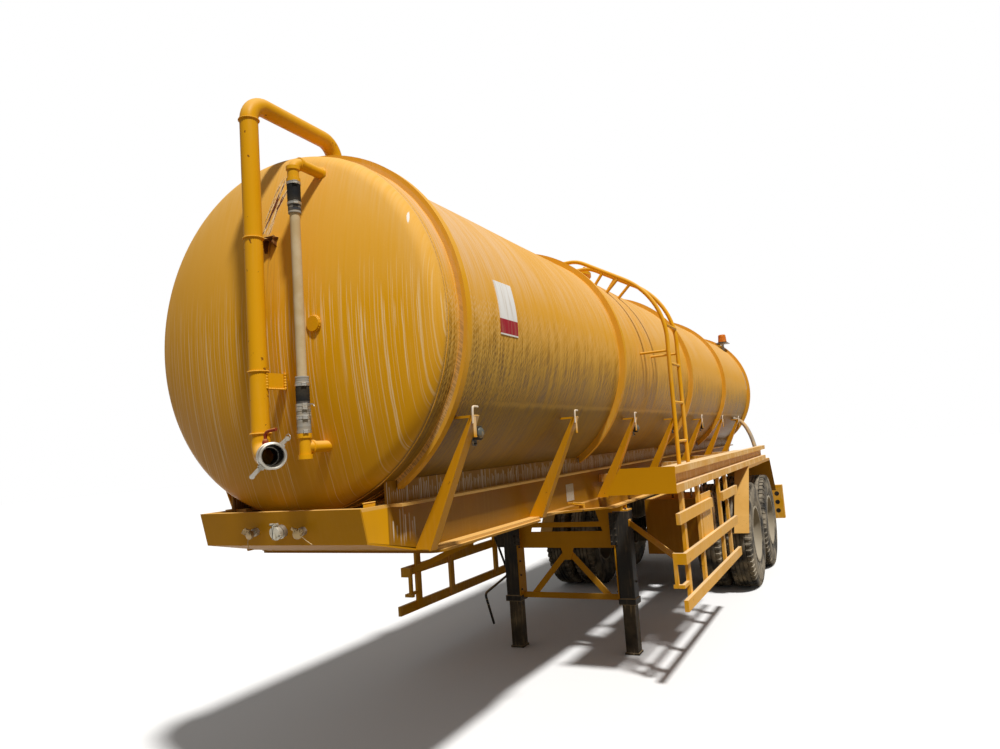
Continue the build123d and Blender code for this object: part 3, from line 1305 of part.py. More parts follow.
# Level gauge on the front head: an upper and a lower pipe joined by a hose.
gauge_y = 309.0
gauge_x = front_ring_x + 420.0
gauge_back_x = front_ring_x + 150.0
gauge_radius = 26.0
gauge_top_z = 3186.0
gauge_low_z = 1886.0
gauge_drop = 118.0
gauge_bend = 55.0
gauge_end_z = 1834.0
tee_collar_radius = gauge_radius + 6.0
tee_collar_height = 20.0
hose_radius = 22.5
hose_top_z = gauge_top_z - gauge_drop
hose_low_z = gauge_low_z + 77.0
sleeve_wall = 3.0
sleeve_overlap = 15.0
upper_sleeve_length = 117.0
lower_sleeve_length = 232.0
tee_collar_bottoms = [gauge_end_z, hose_low_z - sleeve_overlap - 2 - tee_collar_height]
blank_pad_radius = 35.0
blank_pad_height = 12.0
blank_pad_y = 330.0
blank_pad_z = 2440.0
blank_pad_back_x = front_ring_x + 300.0
with BuildPart() as gauge_pipes:
    with BuildLine() as upper_path:
        FilletPolyline(
            (gauge_back_x, gauge_y, gauge_top_z),
            (gauge_x, gauge_y, gauge_top_z),
            (gauge_x, gauge_y, hose_top_z),
            radius=gauge_bend,
        )
    with BuildSketch(Plane(origin=(gauge_back_x, gauge_y, gauge_top_z), z_dir=(1, 0, 0))):
        Circle(gauge_radius)
    sweep(path=upper_path.line)
    with BuildSketch(Plane(origin=(gauge_back_x, gauge_y, gauge_low_z), z_dir=(1, 0, 0))):
        Circle(gauge_radius)
    extrude(amount=gauge_x - gauge_back_x)
    with BuildSketch(Plane.XY.offset(gauge_end_z)):
        with Locations((gauge_x, gauge_y)):
            Circle(gauge_radius)
    extrude(amount=hose_low_z - gauge_end_z)
    for collar_z in tee_collar_bottoms:
        with BuildSketch(Plane.XY.offset(collar_z)):
            with Locations((gauge_x, gauge_y)):
                Circle(tee_collar_radius)
        extrude(amount=tee_collar_height)
    with BuildSketch(Plane(origin=(blank_pad_back_x, blank_pad_y, blank_pad_z), z_dir=(1, 0, 0))):
        Circle(blank_pad_radius)
    extrude(amount=head_reach(blank_pad_y) + front_seam_x + blank_pad_height - blank_pad_back_x)
    add(tank_shell.part, mode=Mode.SUBTRACT)
save(gauge_pipes, "gauge_pipes")
with BuildPart() as gauge_hose:
    with BuildSketch(Plane.XY.offset(hose_low_z + fit)):
        with Locations((gauge_x, gauge_y)):
            Circle(hose_radius)
    extrude(amount=hose_top_z - hose_low_z - 2 * fit)
save(gauge_hose, "gauge_hose")
with BuildPart() as hose_sleeves:
    for low_z, high_z in (
        (hose_low_z - sleeve_overlap, hose_low_z + lower_sleeve_length),
        (hose_top_z - upper_sleeve_length, hose_top_z + sleeve_overlap),
    ):
        with BuildSketch(Plane.XY.offset(low_z)):
            with Locations((gauge_x, gauge_y)):
                Circle(gauge_radius + fit + sleeve_wall)
                Circle(gauge_radius + fit, mode=Mode.SUBTRACT)
        extrude(amount=high_z - low_z)
save(hose_sleeves, "hose_sleeves")

# Service couplings on the front box: two air couplings and a round socket.
service_z = 1510.0
service_rows = [
    {"kind": "air", "y": -140.0, "radius": 20.0, "nose": 14.0},
    {"kind": "socket", "y": 22.0, "radius": 31.0, "nose": 8.0},
    {"kind": "air", "y": 152.0, "radius": 20.0, "nose": 14.0},
]
service_body = 22.0
service_nose_share = 0.72
service_grip = {"length": 36.0, "width": 24.0, "start": 34.0, "thickness": 14.0, "corner": 8.0}
service_plane_x = box_top_x - box_rake * (beam_top_z - service_z) / box_face_height
face_tilt = atan2(box_rake, box_face_height)
with BuildPart() as service_couplings:
    for row in service_rows:
        face_plane = Plane(
            origin=(service_plane_x, row["y"], service_z),
            x_dir=(0, 1, 0),
            z_dir=(cos(face_tilt), 0, -sin(face_tilt)),
        )
        with BuildSketch(face_plane.offset(fit)):
            if row["kind"] == "air":
                RegularPolygon(row["radius"], 6)
            else:
                Circle(row["radius"])
        extrude(amount=service_body)
        with BuildSketch(face_plane.offset(service_body)):
            Circle(row["radius"] * service_nose_share)
        extrude(amount=row["nose"])
        if row["kind"] == "air":
            with BuildSketch(face_plane.offset(service_grip["start"])):
                with Locations((-service_grip["length"] / 5, -service_grip["width"] / 5)):
                    RectangleRounded(service_grip["length"], service_grip["width"], service_grip["corner"])
            extrude(amount=service_grip["thickness"])
save(service_couplings, "service_couplings")

# Marker lamps: a small bracket on the tip of each left and right outrigger,
# with a round lamp on those that have one.
lamp_bracket_width = 44.0
lamp_bracket_height = 120.0
lamp_bracket_thickness = 5.0
lamp_radius = 32.0
lamp_depth = 26.0
outrigger_has_lamp = [True, False, True, True, True, False, False]
lamp_stations = [x for x, has_lamp in zip(gusset_stations, outrigger_has_lamp) if has_lamp]
lamp_seat_y = gusset_tip_y - 45.0
lamp_z = gusset_tip_z - 85.0
with BuildPart() as marker_lamps:
    for side in sides:
        for lamp_station in lamp_stations:
            bracket_x = lamp_station - gusset_bar_width / 2 - fit
            with BuildSketch(side_plane(side * lamp_seat_y)):
                with Locations((bracket_x, lamp_z)):
                    Rectangle(lamp_bracket_width, lamp_bracket_height, align=(Align.MAX, Align.CENTER))
            extrude(amount=-side * lamp_bracket_thickness)
            with BuildSketch(side_plane(side * (lamp_seat_y + lamp_bracket_thickness))):
                with Locations((bracket_x - lamp_radius, lamp_z)):
                    Circle(lamp_radius)
            extrude(amount=-side * lamp_depth)
save(marker_lamps, "marker_lamps")

# Rear outlet: a short pipe from the lower rear head with a gate valve and a flange.
outlet_z = 1760.0
outlet_radius = 84.0
outlet_bore = 72.0
outlet_reach = 555.0
outlet_end_x = rear_seam_x - outlet_reach
valve_x = outlet_end_x + 185.0
valve_length = 70.0
valve_body = (230.0, 420.0)
valve_corner = 60.0
valve_rise = 90.0
valve_stem_z = outlet_z + 298.0
valve_stem_radius = 16.0
valve_stem_length = 170.0
handwheel_z = valve_stem_z + 150.0
handwheel_radius = 95.0
handwheel_rim = 15.0
handwheel_bar = 18.0
handwheel_height = 16.0
flange_radius = 132.0
flange_length = 18.0
bolt_circle = 108.0
bolt_hole = 8.5
bolt_count = 8
with BuildPart() as rear_outlet:
    with BuildSketch(Plane(origin=(outlet_end_x, 0, outlet_z), z_dir=(1, 0, 0))):
        Circle(outlet_radius)
    extrude(amount=rear_seam_x - 60 - outlet_end_x)
    with BuildSketch(Plane(origin=(outlet_end_x, 0, outlet_z), z_dir=(1, 0, 0))):
        Circle(flange_radius)
    extrude(amount=flange_length)
    with BuildSketch(Plane(origin=(outlet_end_x, 0, outlet_z), x_dir=(0, 1, 0), z_dir=(1, 0, 0))):
        with PolarLocations(bolt_circle, bolt_count, start_angle=22.5):
            Circle(bolt_hole)
    extrude(amount=flange_length, mode=Mode.SUBTRACT)
    with BuildSketch(Plane(origin=(outlet_end_x, 0, outlet_z), z_dir=(1, 0, 0))):
        Circle(outlet_bore)
    extrude(amount=valve_x - valve_length / 2 - outlet_end_x, mode=Mode.SUBTRACT)
    with BuildSketch(Plane(origin=(valve_x, 0, outlet_z), x_dir=(0, 1, 0), z_dir=(1, 0, 0))):
        with Locations((0, valve_rise)):
            RectangleRounded(valve_body[0], valve_body[1], valve_corner)
    extrude(amount=valve_length / 2, both=True)
    with BuildSketch(Plane.XY.offset(valve_stem_z)):
        with Locations((valve_x, 0)):
            Circle(valve_stem_radius)
    extrude(amount=valve_stem_length)
    with BuildSketch(Plane.XY.offset(handwheel_z)):
        with Locations((valve_x, 0)):
            Circle(handwheel_radius)
            Circle(handwheel_radius - handwheel_rim, mode=Mode.SUBTRACT)
            Rectangle(2 * handwheel_radius - handwheel_rim, handwheel_bar)
    extrude(amount=handwheel_height)
    add(tank_shell.part, mode=Mode.SUBTRACT)
save(rear_outlet, "rear_outlet")

# Rear bumper under the frame, and the lamp boxes at its ends.
bumper_x = beam_rear_x + 75.0
bumper_z = 500.0
bumper_depth = 100.0
bumper_height = 110.0
lamp_box_width = 170.0
bumper_half = half_width - lamp_box_width - fit
bumper_post = 80.0
with BuildPart() as rear_bumper:
    with BuildSketch(side_plane(0)):
        with Locations((bumper_x, bumper_z)):
            Rectangle(bumper_depth, bumper_height)
    extrude(amount=bumper_half, both=True)
    for side in sides:
        with BuildSketch(Plane.XY.offset(bumper_z)):
            with Locations((bumper_x, side * beam_y)):
                Rectangle(bumper_post, bumper_post)
        extrude(amount=frame_bottom_z - bumper_z)
save(rear_bumper, "rear_bumper")

lamp_box_height = 510.0
lamp_box_depth = 120.0
lamp_box_z = 420.0
lamp_heights = [120.0, 250.0, 380.0]
rear_lamp_radius = 52.0
with BuildPart() as rear_lamps:
    for side in sides:
        box_y = side * (half_width - lamp_box_width / 2)
        with BuildSketch(Plane.XY.offset(lamp_box_z)):
            with Locations((bumper_x, box_y)):
                Rectangle(lamp_box_depth, lamp_box_width)
        extrude(amount=lamp_box_height)
        with BuildSketch(cross_plane(bumper_x - lamp_box_depth / 2)):
            with Locations([(box_y, lamp_box_z + height) for height in lamp_heights]):
                Circle(rear_lamp_radius)
        extrude(amount=-24, taper=8)
save(rear_lamps, "rear_lamps")

# Overflow hose: grey, from a stub on the tank's flank down to the mudguard.
overflow_radius = 28.0
overflow_points = [
    (front_ring_x - 8200.0, 770.0, 2000.0),
    (front_ring_x - 8185.0, 905.0, 1945.0),
    (front_ring_x - 8050.0, 1015.0, 1770.0),
    (front_ring_x - 7900.0, 1085.0, 1560.0),
    (front_ring_x - 7880.0, 1095.0, mudguard_top_z + fit),
]
overflow_bends = [80.0, 400.0, 150.0]
overflow_start = Vector(*overflow_points[1]) - Vector(*overflow_points[0])
with BuildPart() as overflow_hose:
    with BuildLine() as overflow_path:
        FilletPolyline(overflow_points, radius=overflow_bends)
    with BuildSketch(Plane(origin=overflow_points[0], z_dir=overflow_start)):
        Circle(overflow_radius)
    sweep(path=overflow_path.line)
    with BuildSketch(Plane.XY.offset(mudguard_top_z + fit)):
        with Locations((overflow_points[-1][0], overflow_points[-1][1])):
            Rectangle(4 * overflow_radius, 4 * overflow_radius)
    extrude(amount=-overflow_radius, mode=Mode.SUBTRACT)
    add(tank_space.part, mode=Mode.SUBTRACT)
save(overflow_hose, "overflow_hose")
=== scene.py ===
# %% [markdown]
# # A tank semi-trailer in Blender
# The trailer is a steel barrel on a ladder frame, with twin wheels on two axles.
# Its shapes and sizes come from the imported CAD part, which is loaded here and
# never changed. Everything below dresses it: finishes for its nodes, and finer
# pieces where a real trailer shows more than the CAD solids do.

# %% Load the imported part
import math

import bmesh
import bpy
import numpy as np
from mathutils import Matrix


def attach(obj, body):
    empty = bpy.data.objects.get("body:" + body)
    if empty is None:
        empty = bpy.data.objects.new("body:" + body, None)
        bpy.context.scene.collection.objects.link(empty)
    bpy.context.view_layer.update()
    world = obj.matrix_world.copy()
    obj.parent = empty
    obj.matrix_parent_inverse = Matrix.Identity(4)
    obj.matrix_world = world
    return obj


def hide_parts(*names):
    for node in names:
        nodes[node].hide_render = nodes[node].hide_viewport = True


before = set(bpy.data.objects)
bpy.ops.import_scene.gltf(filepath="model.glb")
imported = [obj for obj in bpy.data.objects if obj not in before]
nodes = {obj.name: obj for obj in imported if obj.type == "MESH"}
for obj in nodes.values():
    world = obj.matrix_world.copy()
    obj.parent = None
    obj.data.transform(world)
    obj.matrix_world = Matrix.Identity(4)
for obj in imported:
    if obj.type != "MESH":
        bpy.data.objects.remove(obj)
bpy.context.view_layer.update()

# %% [markdown]
# ## Places on the trailer
# The part's frame is metres, with X forward, Y to the trailer's left and Z up.
# Most places are setbacks from the first stiffening ring of the barrel, because
# that is how the CAD part gives them. Keeping the same names and numbers here
# means a piece lands where its carrier is, with nothing fitted by eye.

# %% Named places, in metres
first_ring_x = 4.5544
barrel_radius = 0.9
barrel_axis_z = 2.457
front_seam_x = first_ring_x + 0.116
rear_seam_x = front_seam_x - 9.306
crown_radius = 2.2
knuckle_radius = 0.1
knuckle_height = barrel_radius - knuckle_radius
crown_setback = math.sqrt((crown_radius - knuckle_radius) ** 2 - knuckle_height**2)
ring_stations = first_ring_x - np.array([0.0, 2.415, 4.824, 6.848, 9.077])
gusset_stations = first_ring_x - 0.120 - 1.331 * np.arange(7)
gusset_tip_y, gusset_tip_z = 0.868, 1.985
pipe_x, pipe_y = first_ring_x + 0.471, 0.102
wheel_radius = 0.6
wheel_disc_y = 0.935
axle_stations = {"front": first_ring_x - 6.150, "rear": first_ring_x - 7.500}
left_right = (1, -1)
wheels = [
    (f"{axle}_{side_name}", axle_x, side)
    for axle, axle_x in axle_stations.items()
    for side, side_name in zip(left_right, ("left", "right"))
]
along_x, along_y, up_z = np.eye(3)


def from_ring(ahead, y, z):
    """A place given by how far it lies ahead of the first ring, its Y and its Z."""
    return np.array([first_ring_x + ahead, y, z])


print("first ring", first_ring_x, "rear seam", round(rear_seam_x, 4))
print("wheels", [name for name, _, _ in wheels])

# %% [markdown]
# ## The camera
# The photograph was taken from in front of the trailer's left corner, at about
# a standing person's eye height. A camera is a place and three directions: the
# way it looks, its right and its up. Working those out from yaw, pitch and roll
# and writing them into the object's matrix keeps the view exact, where aiming at
# a target would leave the roll to chance.

# %% Camera at the photograph's viewpoint
camera_place = (7.3914, 2.493, 1.825)
camera_yaw, camera_pitch, camera_roll = 3.605, 0.101, -0.072
camera_lens = 25.754
flat_way = np.array([math.cos(camera_yaw), math.sin(camera_yaw), 0.0])
look = math.cos(camera_pitch) * flat_way + math.sin(camera_pitch) * up_z
level_right = np.cross(look, up_z)
level_right /= np.linalg.norm(level_right)
level_up = np.cross(level_right, look)
right = math.cos(camera_roll) * level_right + math.sin(camera_roll) * level_up
up = -math.sin(camera_roll) * level_right + math.cos(camera_roll) * level_up
lens = bpy.data.cameras.new("photo_camera")
lens.lens = camera_lens
lens.sensor_width = 36.0
lens.sensor_fit = "HORIZONTAL"
lens.clip_end = 400.0
camera = bpy.data.objects.new("photo_camera", lens)
turned = np.eye(4)
turned[:3] = np.column_stack([right, up, -look, camera_place])
camera.matrix_world = Matrix(turned.tolist())
bpy.context.scene.collection.objects.link(camera)
bpy.context.scene.camera = camera
bpy.context.scene.view_settings.view_transform = "Standard"
print("camera looks along", look.round(3))

# %% [markdown]
# ## Surfaces from numbers
# Every new piece is a grid of points: a function of two parameters, worked out
# as whole arrays. The faces of such a grid are always the same four neighbours,
# so one helper turns any grid into a mesh. A grid may close on itself in either
# direction, as a tube does round its section, and its ends may be capped.


# %% Grids of points, and meshes from them
def surface(points, wrap_rows=False, wrap_cols=False, caps=False):
    """Vertices and faces of a grid of points (rows, columns, 3): each face joins a
    point to its neighbours in the next column and row. Caps close the first and
    last row with one face each."""
    rows, cols = points.shape[:2]
    index = np.arange(rows * cols).reshape(rows, cols)
    if wrap_rows:
        index = np.vstack([index, index[:1]])
    if wrap_cols:
        index = np.hstack([index, index[:, :1]])
    quads = np.stack([index[:-1, :-1], index[:-1, 1:], index[1:, 1:], index[1:, :-1]], axis=-1)
    faces = quads.reshape(-1, 4).tolist()
    if caps:
        faces.append(np.arange(cols)[::-1].tolist())
        faces.append((np.arange(cols) + (rows - 1) * cols).tolist())
    return points.reshape(-1, 3), faces


def joined(shapes):
    """Several shapes as one: the vertices end to end, and each face's numbers moved
    up by the count of the vertices before it."""
    starts = np.cumsum([0] + [len(points) for points, _ in shapes])
    vertices = np.concatenate([points for points, _ in shapes])
    faces = [[i + start for i in face] for (_, some), start in zip(shapes, starts.tolist()) for face in some]
    return vertices, faces


def add_piece(name, shapes, finish, body="frame", slot=None, stands_for=(), sharp=40.0):
    """A Blender object made of closed shapes. Its normals point outwards, and its
    shading is smooth but for edges sharper than the given angle."""
    vertices, faces = joined(shapes)
    mesh = bpy.data.meshes.new(name)
    mesh.from_pydata(vertices.tolist(), [], faces)
    work = bmesh.new()
    work.from_mesh(mesh)
    bmesh.ops.recalc_face_normals(work, faces=work.faces)
    work.to_mesh(mesh)
    work.free()
    mesh.shade_smooth()
    mesh.set_sharp_from_angle(angle=math.radians(sharp))
    mesh.materials.append(finish)
    piece = bpy.data.objects.new(name, mesh)
    bpy.context.scene.collection.objects.link(piece)
    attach(piece, body)
    if stands_for:
        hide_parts(*stands_for)
    print(f"{name}: {len(vertices)} vertices, {len(faces)} faces")
    return piece


print("surface helpers ready")

# %% [markdown]
# ## Shader maths as expressions
# Dirt is layers of masks: where rain runs, where dust settles, where paint has
# gone. Each mask is arithmetic on sockets, and arithmetic reads best as an
# expression. The class below wraps a socket, and Python's operators on it add
# the Math nodes.


# %% A socket that can be added and multiplied
def connect(tree, value, place):
    """Links a wire to a node's input, or writes a plain value there."""
    if isinstance(value, Wire):
        tree.links.new(value.socket, place)
    else:
        place.default_value = value


class Wire:
    """A socket of a node tree. Operators on it add Math nodes and give new wires."""

    def __init__(self, tree, socket):
        self.tree = tree
        self.socket = socket

    def maths(self, operation, *others, first=None):
        """A Math node of this wire and the others. A first value goes before this wire."""
        node = self.tree.nodes.new("ShaderNodeMath")
        node.operation = operation
        values = (self, *others) if first is None else (first, self)
        for place, value in zip(node.inputs, values):
            connect(self.tree, value, place)
        return Wire(self.tree, node.outputs[0])

    def __add__(self, other):
        return self.maths("ADD", other)

    def __sub__(self, other):
        return self.maths("SUBTRACT", other)

    def __rsub__(self, other):
        return self.maths("SUBTRACT", first=other)

    def __mul__(self, other):
        return self.maths("MULTIPLY", other)

    def __abs__(self):
        return self.maths("ABSOLUTE")

    __radd__ = __add__
    __rmul__ = __mul__


print("Wire ready")

# %% [markdown]
# ## A material in the making
# A finish starts as one shader node. One method adds any other node: it takes the
# node's type, its settings and what its sockets get. The shorter methods use it
# for what dirt needs, such as noise, thin runs, smooth steps and colours laid over
# each other, and paint() links the results to the shader.


# %% The Finish class
class Finish:
    """A material in the making. Its shader's varying inputs are linked by paint()."""

    def __init__(self, name, **constants):
        self.material = bpy.data.materials.new(name)
        self.material.use_nodes = True
        self.tree = self.material.node_tree
        self.shader = self.tree.nodes["Principled BSDF"]
        for socket, value in {"Specular_IOR_Level": 0.12, **constants}.items():
            self.shader.inputs[socket.replace("_", " ")].default_value = value
        place = self.tree.nodes.new("ShaderNodeTexCoord")
        self.place = Wire(self.tree, place.outputs["Object"])
        self.x, self.y, self.z = self.split(self.place)
        self.forward, self.sideways, self.upward = self.split(Wire(self.tree, place.outputs["Normal"]))

    def add(self, kind, settings=None, values=None, out=0):
        """Any node: its settings are set first, then its sockets get values or wires."""
        node = self.tree.nodes.new(kind)
        for name, value in (settings or {}).items():
            setattr(node, name, value)
        for name, value in (values or {}).items():
            connect(self.tree, value, node.inputs[name])
        return Wire(self.tree, node.outputs[out])

    def split(self, vector):
        """The three numbers of a vector."""
        node = self.tree.nodes.new("ShaderNodeSeparateXYZ")
        connect(self.tree, vector, node.inputs[0])
        return [Wire(self.tree, socket) for socket in node.outputs]

    def vector(self, x, y, z=0.0):
        """A vector of three numbers."""
        return self.add("ShaderNodeCombineXYZ", values={0: x, 1: y, 2: z})

    def noise(self, at, scale=1.0, detail=3.0, roughness=0.5, warp=0.0):
        """Cloudy noise from 0 to 1, about one cloud for each unit of at times scale."""
        values = {"Vector": at, "Scale": scale, "Detail": detail, "Roughness": roughness, "Distortion": warp}
        return self.add("ShaderNodeTexNoise", values=values)

    def chance(self, number):
        """A random value from 0 to 1 that stays the same for the same number."""
        return self.add("ShaderNodeTexWhiteNoise", {"noise_dimensions": "1D"}, {"W": number})

    def runs(self, across, down, spacing, seed, width):
        """Thin wavy lines that run down, one in each strip of the given spacing. Gives
        the lines' mask and two random numbers from 0 to 1 that each line keeps."""
        sway = 0.012
        wave = self.noise(self.vector(across * 7, down * 5, seed), detail=3, roughness=0.6)
        strip = across * (1 / spacing) + (wave - 0.5) * (sway / spacing)
        number = strip.maths("FLOOR")
        first, second = self.chance(number + seed), self.chance(number + seed + 0.37)
        off = abs(strip - number - 0.25 - second * 0.5)
        half = 0.5 * width / spacing
        return self.ease(off, half * 1.6, half * 0.6), first, second

    def ease(self, wire, low, high, start=0.0, end=1.0):
        """A smooth step from start at low to end at high. Low may be the larger."""
        values = {"Value": wire, "From Min": low, "From Max": high, "To Min": start, "To Max": end}
        return self.add("ShaderNodeMapRange", {"interpolation_type": "SMOOTHSTEP"}, values)

    def blend(self, factor, under, over):
        """The over colour laid on the under colour as far as the factor says."""
        under, over = (value if isinstance(value, Wire) else (*value, 1.0) for value in (under, over))
        settings = {"data_type": "RGBA", "clamp_factor": True}
        return self.add("ShaderNodeMix", settings, {0: factor, 6: under, 7: over}, out=2)

    def paint(self, colour, roughness=None, bump=None, bump_depth=0.0006):
        """Links what varies over the surface, and returns the finished material."""
        links = {"Base Color": colour}
        if roughness is not None:
            links["Roughness"] = roughness
        if bump is not None:
            values = {"Height": bump, "Distance": bump_depth, "Strength": 1.0}
            links["Normal"] = self.add("ShaderNodeBump", values=values)
        for name, wire in links.items():
            connect(self.tree, wire, self.shader.inputs[name])
        return self.material


print("Finish ready")

# %% [markdown]
# ## The colours
# Two yellows cover almost all of the trailer, a clean one where rain washes it
# and a darker one in the run-off below. Pale desert dust lies over both. Naming
# the colours once keeps every finish in the same family.

# %% Colours, as linear red, green and blue
clean_yellow = (0.72, 0.335, 0.002)
frame_yellow = (0.64, 0.285, 0.002)
# Painted shade: the coupler box's yellow is darkened for the shade it stands in.
box_shade_yellow = (0.52, 0.236, 0.002)
# Painted shade: the mudguards' yellow is darkened for the shade they stand in.
mudguard_shade_yellow = (0.46, 0.20, 0.003)
# Painted shade: a darker yellow for the nodes that lie in the barrel's shade.
painted_shade_yellow = (0.31, 0.135, 0.002)
deep_ochre = (0.30, 0.14, 0.006)
pale_dust = (0.78, 0.46, 0.14)
pink_dust = (0.70, 0.475, 0.28)
low_dust = (0.66, 0.41, 0.09)
drip_white = (0.86, 0.66, 0.38)
edge_dust = (0.82, 0.58, 0.31)
grey_dust = (0.44, 0.33, 0.19)
# Brown grime. In the paint of shaded nodes and on the lower flank it is also painted shade.
brown_grime_and_shade = (0.12, 0.062, 0.014)
deep_brown = (0.17, 0.09, 0.010)
rust = (0.13, 0.035, 0.010)
bare_white = (0.78, 0.74, 0.66)
sign_white = (0.80, 0.78, 0.74)
sign_red = (0.36, 0.018, 0.03)
lever_red = (0.22, 0.008, 0.006)
soot_black = (0.018, 0.017, 0.016)
leg_black = (0.022, 0.021, 0.020)
foot_black = (0.030, 0.023, 0.017)
rubber_grey = (0.030, 0.028, 0.026)
tyre_dust = (0.35, 0.295, 0.215)
rim_grey = (0.36, 0.31, 0.225)
steel_grey = (0.30, 0.29, 0.27)
print("colours named")

# %% [markdown]
# ## Light, world and floor
# The photograph was taken outdoors with the sun high on the trailer's left.
# A soft sun and an even world stand for it, at a level where a colour renders
# about as it is written. The floor is plain and pale where the camera sees it.
# For the light that it throws back up it is darker, as earth is, or the barrel's
# underside would glow.

# %% Sun, sky and floor
sun_from = np.array([0.33, 0.49, 1.00])
sky_strength = 0.25
earth_brown, floor_white = (0.22, 0.18, 0.12), (0.86, 0.85, 0.83)
floor_half = 60.0
floor_z = -0.002


def seen_by(tree, *kinds):
    """One for rays of these kinds, and nought for the others."""
    rays = tree.nodes.new("ShaderNodeLightPath")
    return sum(Wire(tree, rays.outputs[f"Is {kind} Ray"]) for kind in kinds).maths("MINIMUM", 1.0)


sun_light = bpy.data.lights.new("soft_sun", "SUN")
sun_light.energy = 3.9
sun_light.angle = math.radians(5)
sun = bpy.data.objects.new("soft_sun", sun_light)
sun_tilt = math.atan2(math.hypot(sun_from[0], sun_from[1]), sun_from[2])
sun.rotation_euler = (sun_tilt, 0.0, math.atan2(sun_from[0], -sun_from[1]))
bpy.context.scene.collection.objects.link(sun)

world = bpy.data.worlds.new("even_sky")
bpy.context.scene.world = world
world.use_nodes = True
sky = world.node_tree.nodes["Background"]
sky.inputs["Color"].default_value = (1.0, 1.0, 1.0, 1.0)
strength = seen_by(world.node_tree, "Camera", "Transmission") * (1 - sky_strength) + sky_strength
connect(world.node_tree, strength, sky.inputs["Strength"])

floor_finish = Finish("floor_finish", Roughness=0.9)
shade = floor_finish.blend(seen_by(floor_finish.tree, "Camera", "Glossy"), earth_brown, floor_white)
floor_mesh = bpy.data.meshes.new("floor")
corners = [(x * floor_half, y * floor_half, floor_z) for x, y in ((-1, -1), (1, -1), (1, 1), (-1, 1))]
floor_mesh.from_pydata(corners, [], [(0, 1, 2, 3)])
floor_mesh.materials.append(floor_finish.paint(shade))
floor = bpy.data.objects.new("floor", floor_mesh)
bpy.context.scene.collection.objects.link(floor)
print("sun from", sun_from, "floor", 2 * floor_half, "m square")

# %% [markdown]
# ## Where the barrel's dirt lies
# The barrel tells where water and dust go. Dust settles on its shoulders and
# rain washes it down in fine lines. On a head "down" is Z and "across" is Y. On
# the flank "down" is the way round the barrel and "across" is X. Mixing those two
# pairs by a mask of the heads gives one set of coordinates, and every layer of
# dirt reads the same noises, so that the layers' edges agree.


# %% The barrel's coordinates and noises
def barrel_finish():
    """A finish that keeps the barrel's own coordinates and noises. The way round is
    the angle about the barrel's axis times its radius."""
    f = Finish("barrel_paint")
    front_head = f.ease(f.x, front_seam_x + 0.004, front_seam_x + 0.03)
    f.heads = front_head + f.ease(f.x, rear_seam_x - 0.004, rear_seam_x - 0.03)
    f.flank = 1 - f.heads
    f.height = f.z - barrel_axis_z
    f.across = f.x * f.flank + f.y * f.heads
    round_way = f.height.maths("ARCTAN2", abs(f.y)) * barrel_radius
    f.down = round_way * f.flank + f.height * f.heads
    f.fine = f.noise(f.vector(f.across * 88, f.down * 2.4, f.heads * 9), detail=3, roughness=0.7)
    f.hair = f.noise(f.vector(f.across * 190, f.down * 5.0, f.heads * 3), detail=1)
    f.broad = f.noise(f.vector(f.across * 16, f.down * 0.9, f.heads * 5), detail=3, warp=0.3)
    f.cloud = f.noise(f.place, scale=2.2, detail=4)
    f.speck = f.noise(f.place, scale=160, detail=2)
    f.lines = f.ease(f.fine + (f.broad - 0.5) * 0.5 + (f.hair - 0.5) * 0.2, 0.43, 0.58)
    slanting = f.vector((f.across + f.down) * 80, (f.down - f.across) * 5.0, 4.0)
    leaning = f.noise(slanting, detail=3, roughness=0.65)
    f.hatch = f.ease(leaning + (f.fine - 0.5) * 0.35, 0.42, 0.58)
    f.near_ring = f.ease(abs(f.x - (first_ring_x - 0.05)), 1.3, 0.15)
    return f


print("barrel coordinates ready")

# %% [markdown]
# ## Dust and drips on the heads
# The upper half of a head is dusty down to a ragged edge. Below it three sorts of
# drips have dried: thin ones, finer hairs and a few wide ones. Each drip starts
# and ends at its own height, which two random numbers give.


# %% Dust and drips on the heads
def head_dust(f):
    """How dusty a head is: its upper part with more on the crown, its rim, and faint
    streaks under the ragged edge."""
    out = (f.y * f.y + f.height * f.height).maths("SQRT")
    edge = f.height + (f.broad - 0.5) * 0.26 + (f.fine - 0.5) * 0.14
    crown = f.ease(f.height + (f.cloud - 0.5) * 0.3, 0.20, 0.80)
    rim = f.ease(out, 0.70, 0.89) * f.ease(f.height, -0.55, 0.15)
    cover = f.ease(edge, 0.00, 0.22) * (crown * 0.30 + 0.20) * (0.35 + f.fine * 1.3)
    cover = cover + rim * (0.25 + (f.fine - 0.5) * 0.8)
    streaks = f.ease(f.fine + (f.broad - 0.5) * 0.5, 0.50, 0.72) * f.ease(f.height, 0.24, -0.10) * 0.22
    return cover.maths("MAXIMUM", streaks)


def head_drips(f):
    """Each sort of drip has a spacing, a seed and a width. Its start and its end are
    smooth steps of the height plus a random share, and a random number sets its strength."""
    sorts = [
        (0.040, 1.0, 0.0045, (0.24, 0.28, 0.16), (0.90, 0.00, 0.12), (0.20, 0.70)),
        (0.021, 12.0, 0.0026, (0.30, 0.34, 0.26), (1.05, 0.02, 0.12), (0.15, 0.65)),
        (0.085, 7.0, 0.0068, (0.20, 0.26, 0.12), (0.85, 0.06, 0.20), (0.40, 0.60)),
    ]
    drips = 0.0
    for spacing, seed, width, (start_share, *start), (end_share, *end), (least, more) in sorts:
        line, first, second = f.runs(f.y, f.height, spacing, seed, width)
        begins = f.ease(f.height + first * start_share, *start)
        ends = f.ease(f.height + second * end_share, *end)
        drips = (line * begins * ends * (least + first * more)).maths("MAXIMUM", drips)
    return drips * f.ease(f.hair, 0.25, 0.50, 0.45, 1.0)


print("head dust and drips ready")
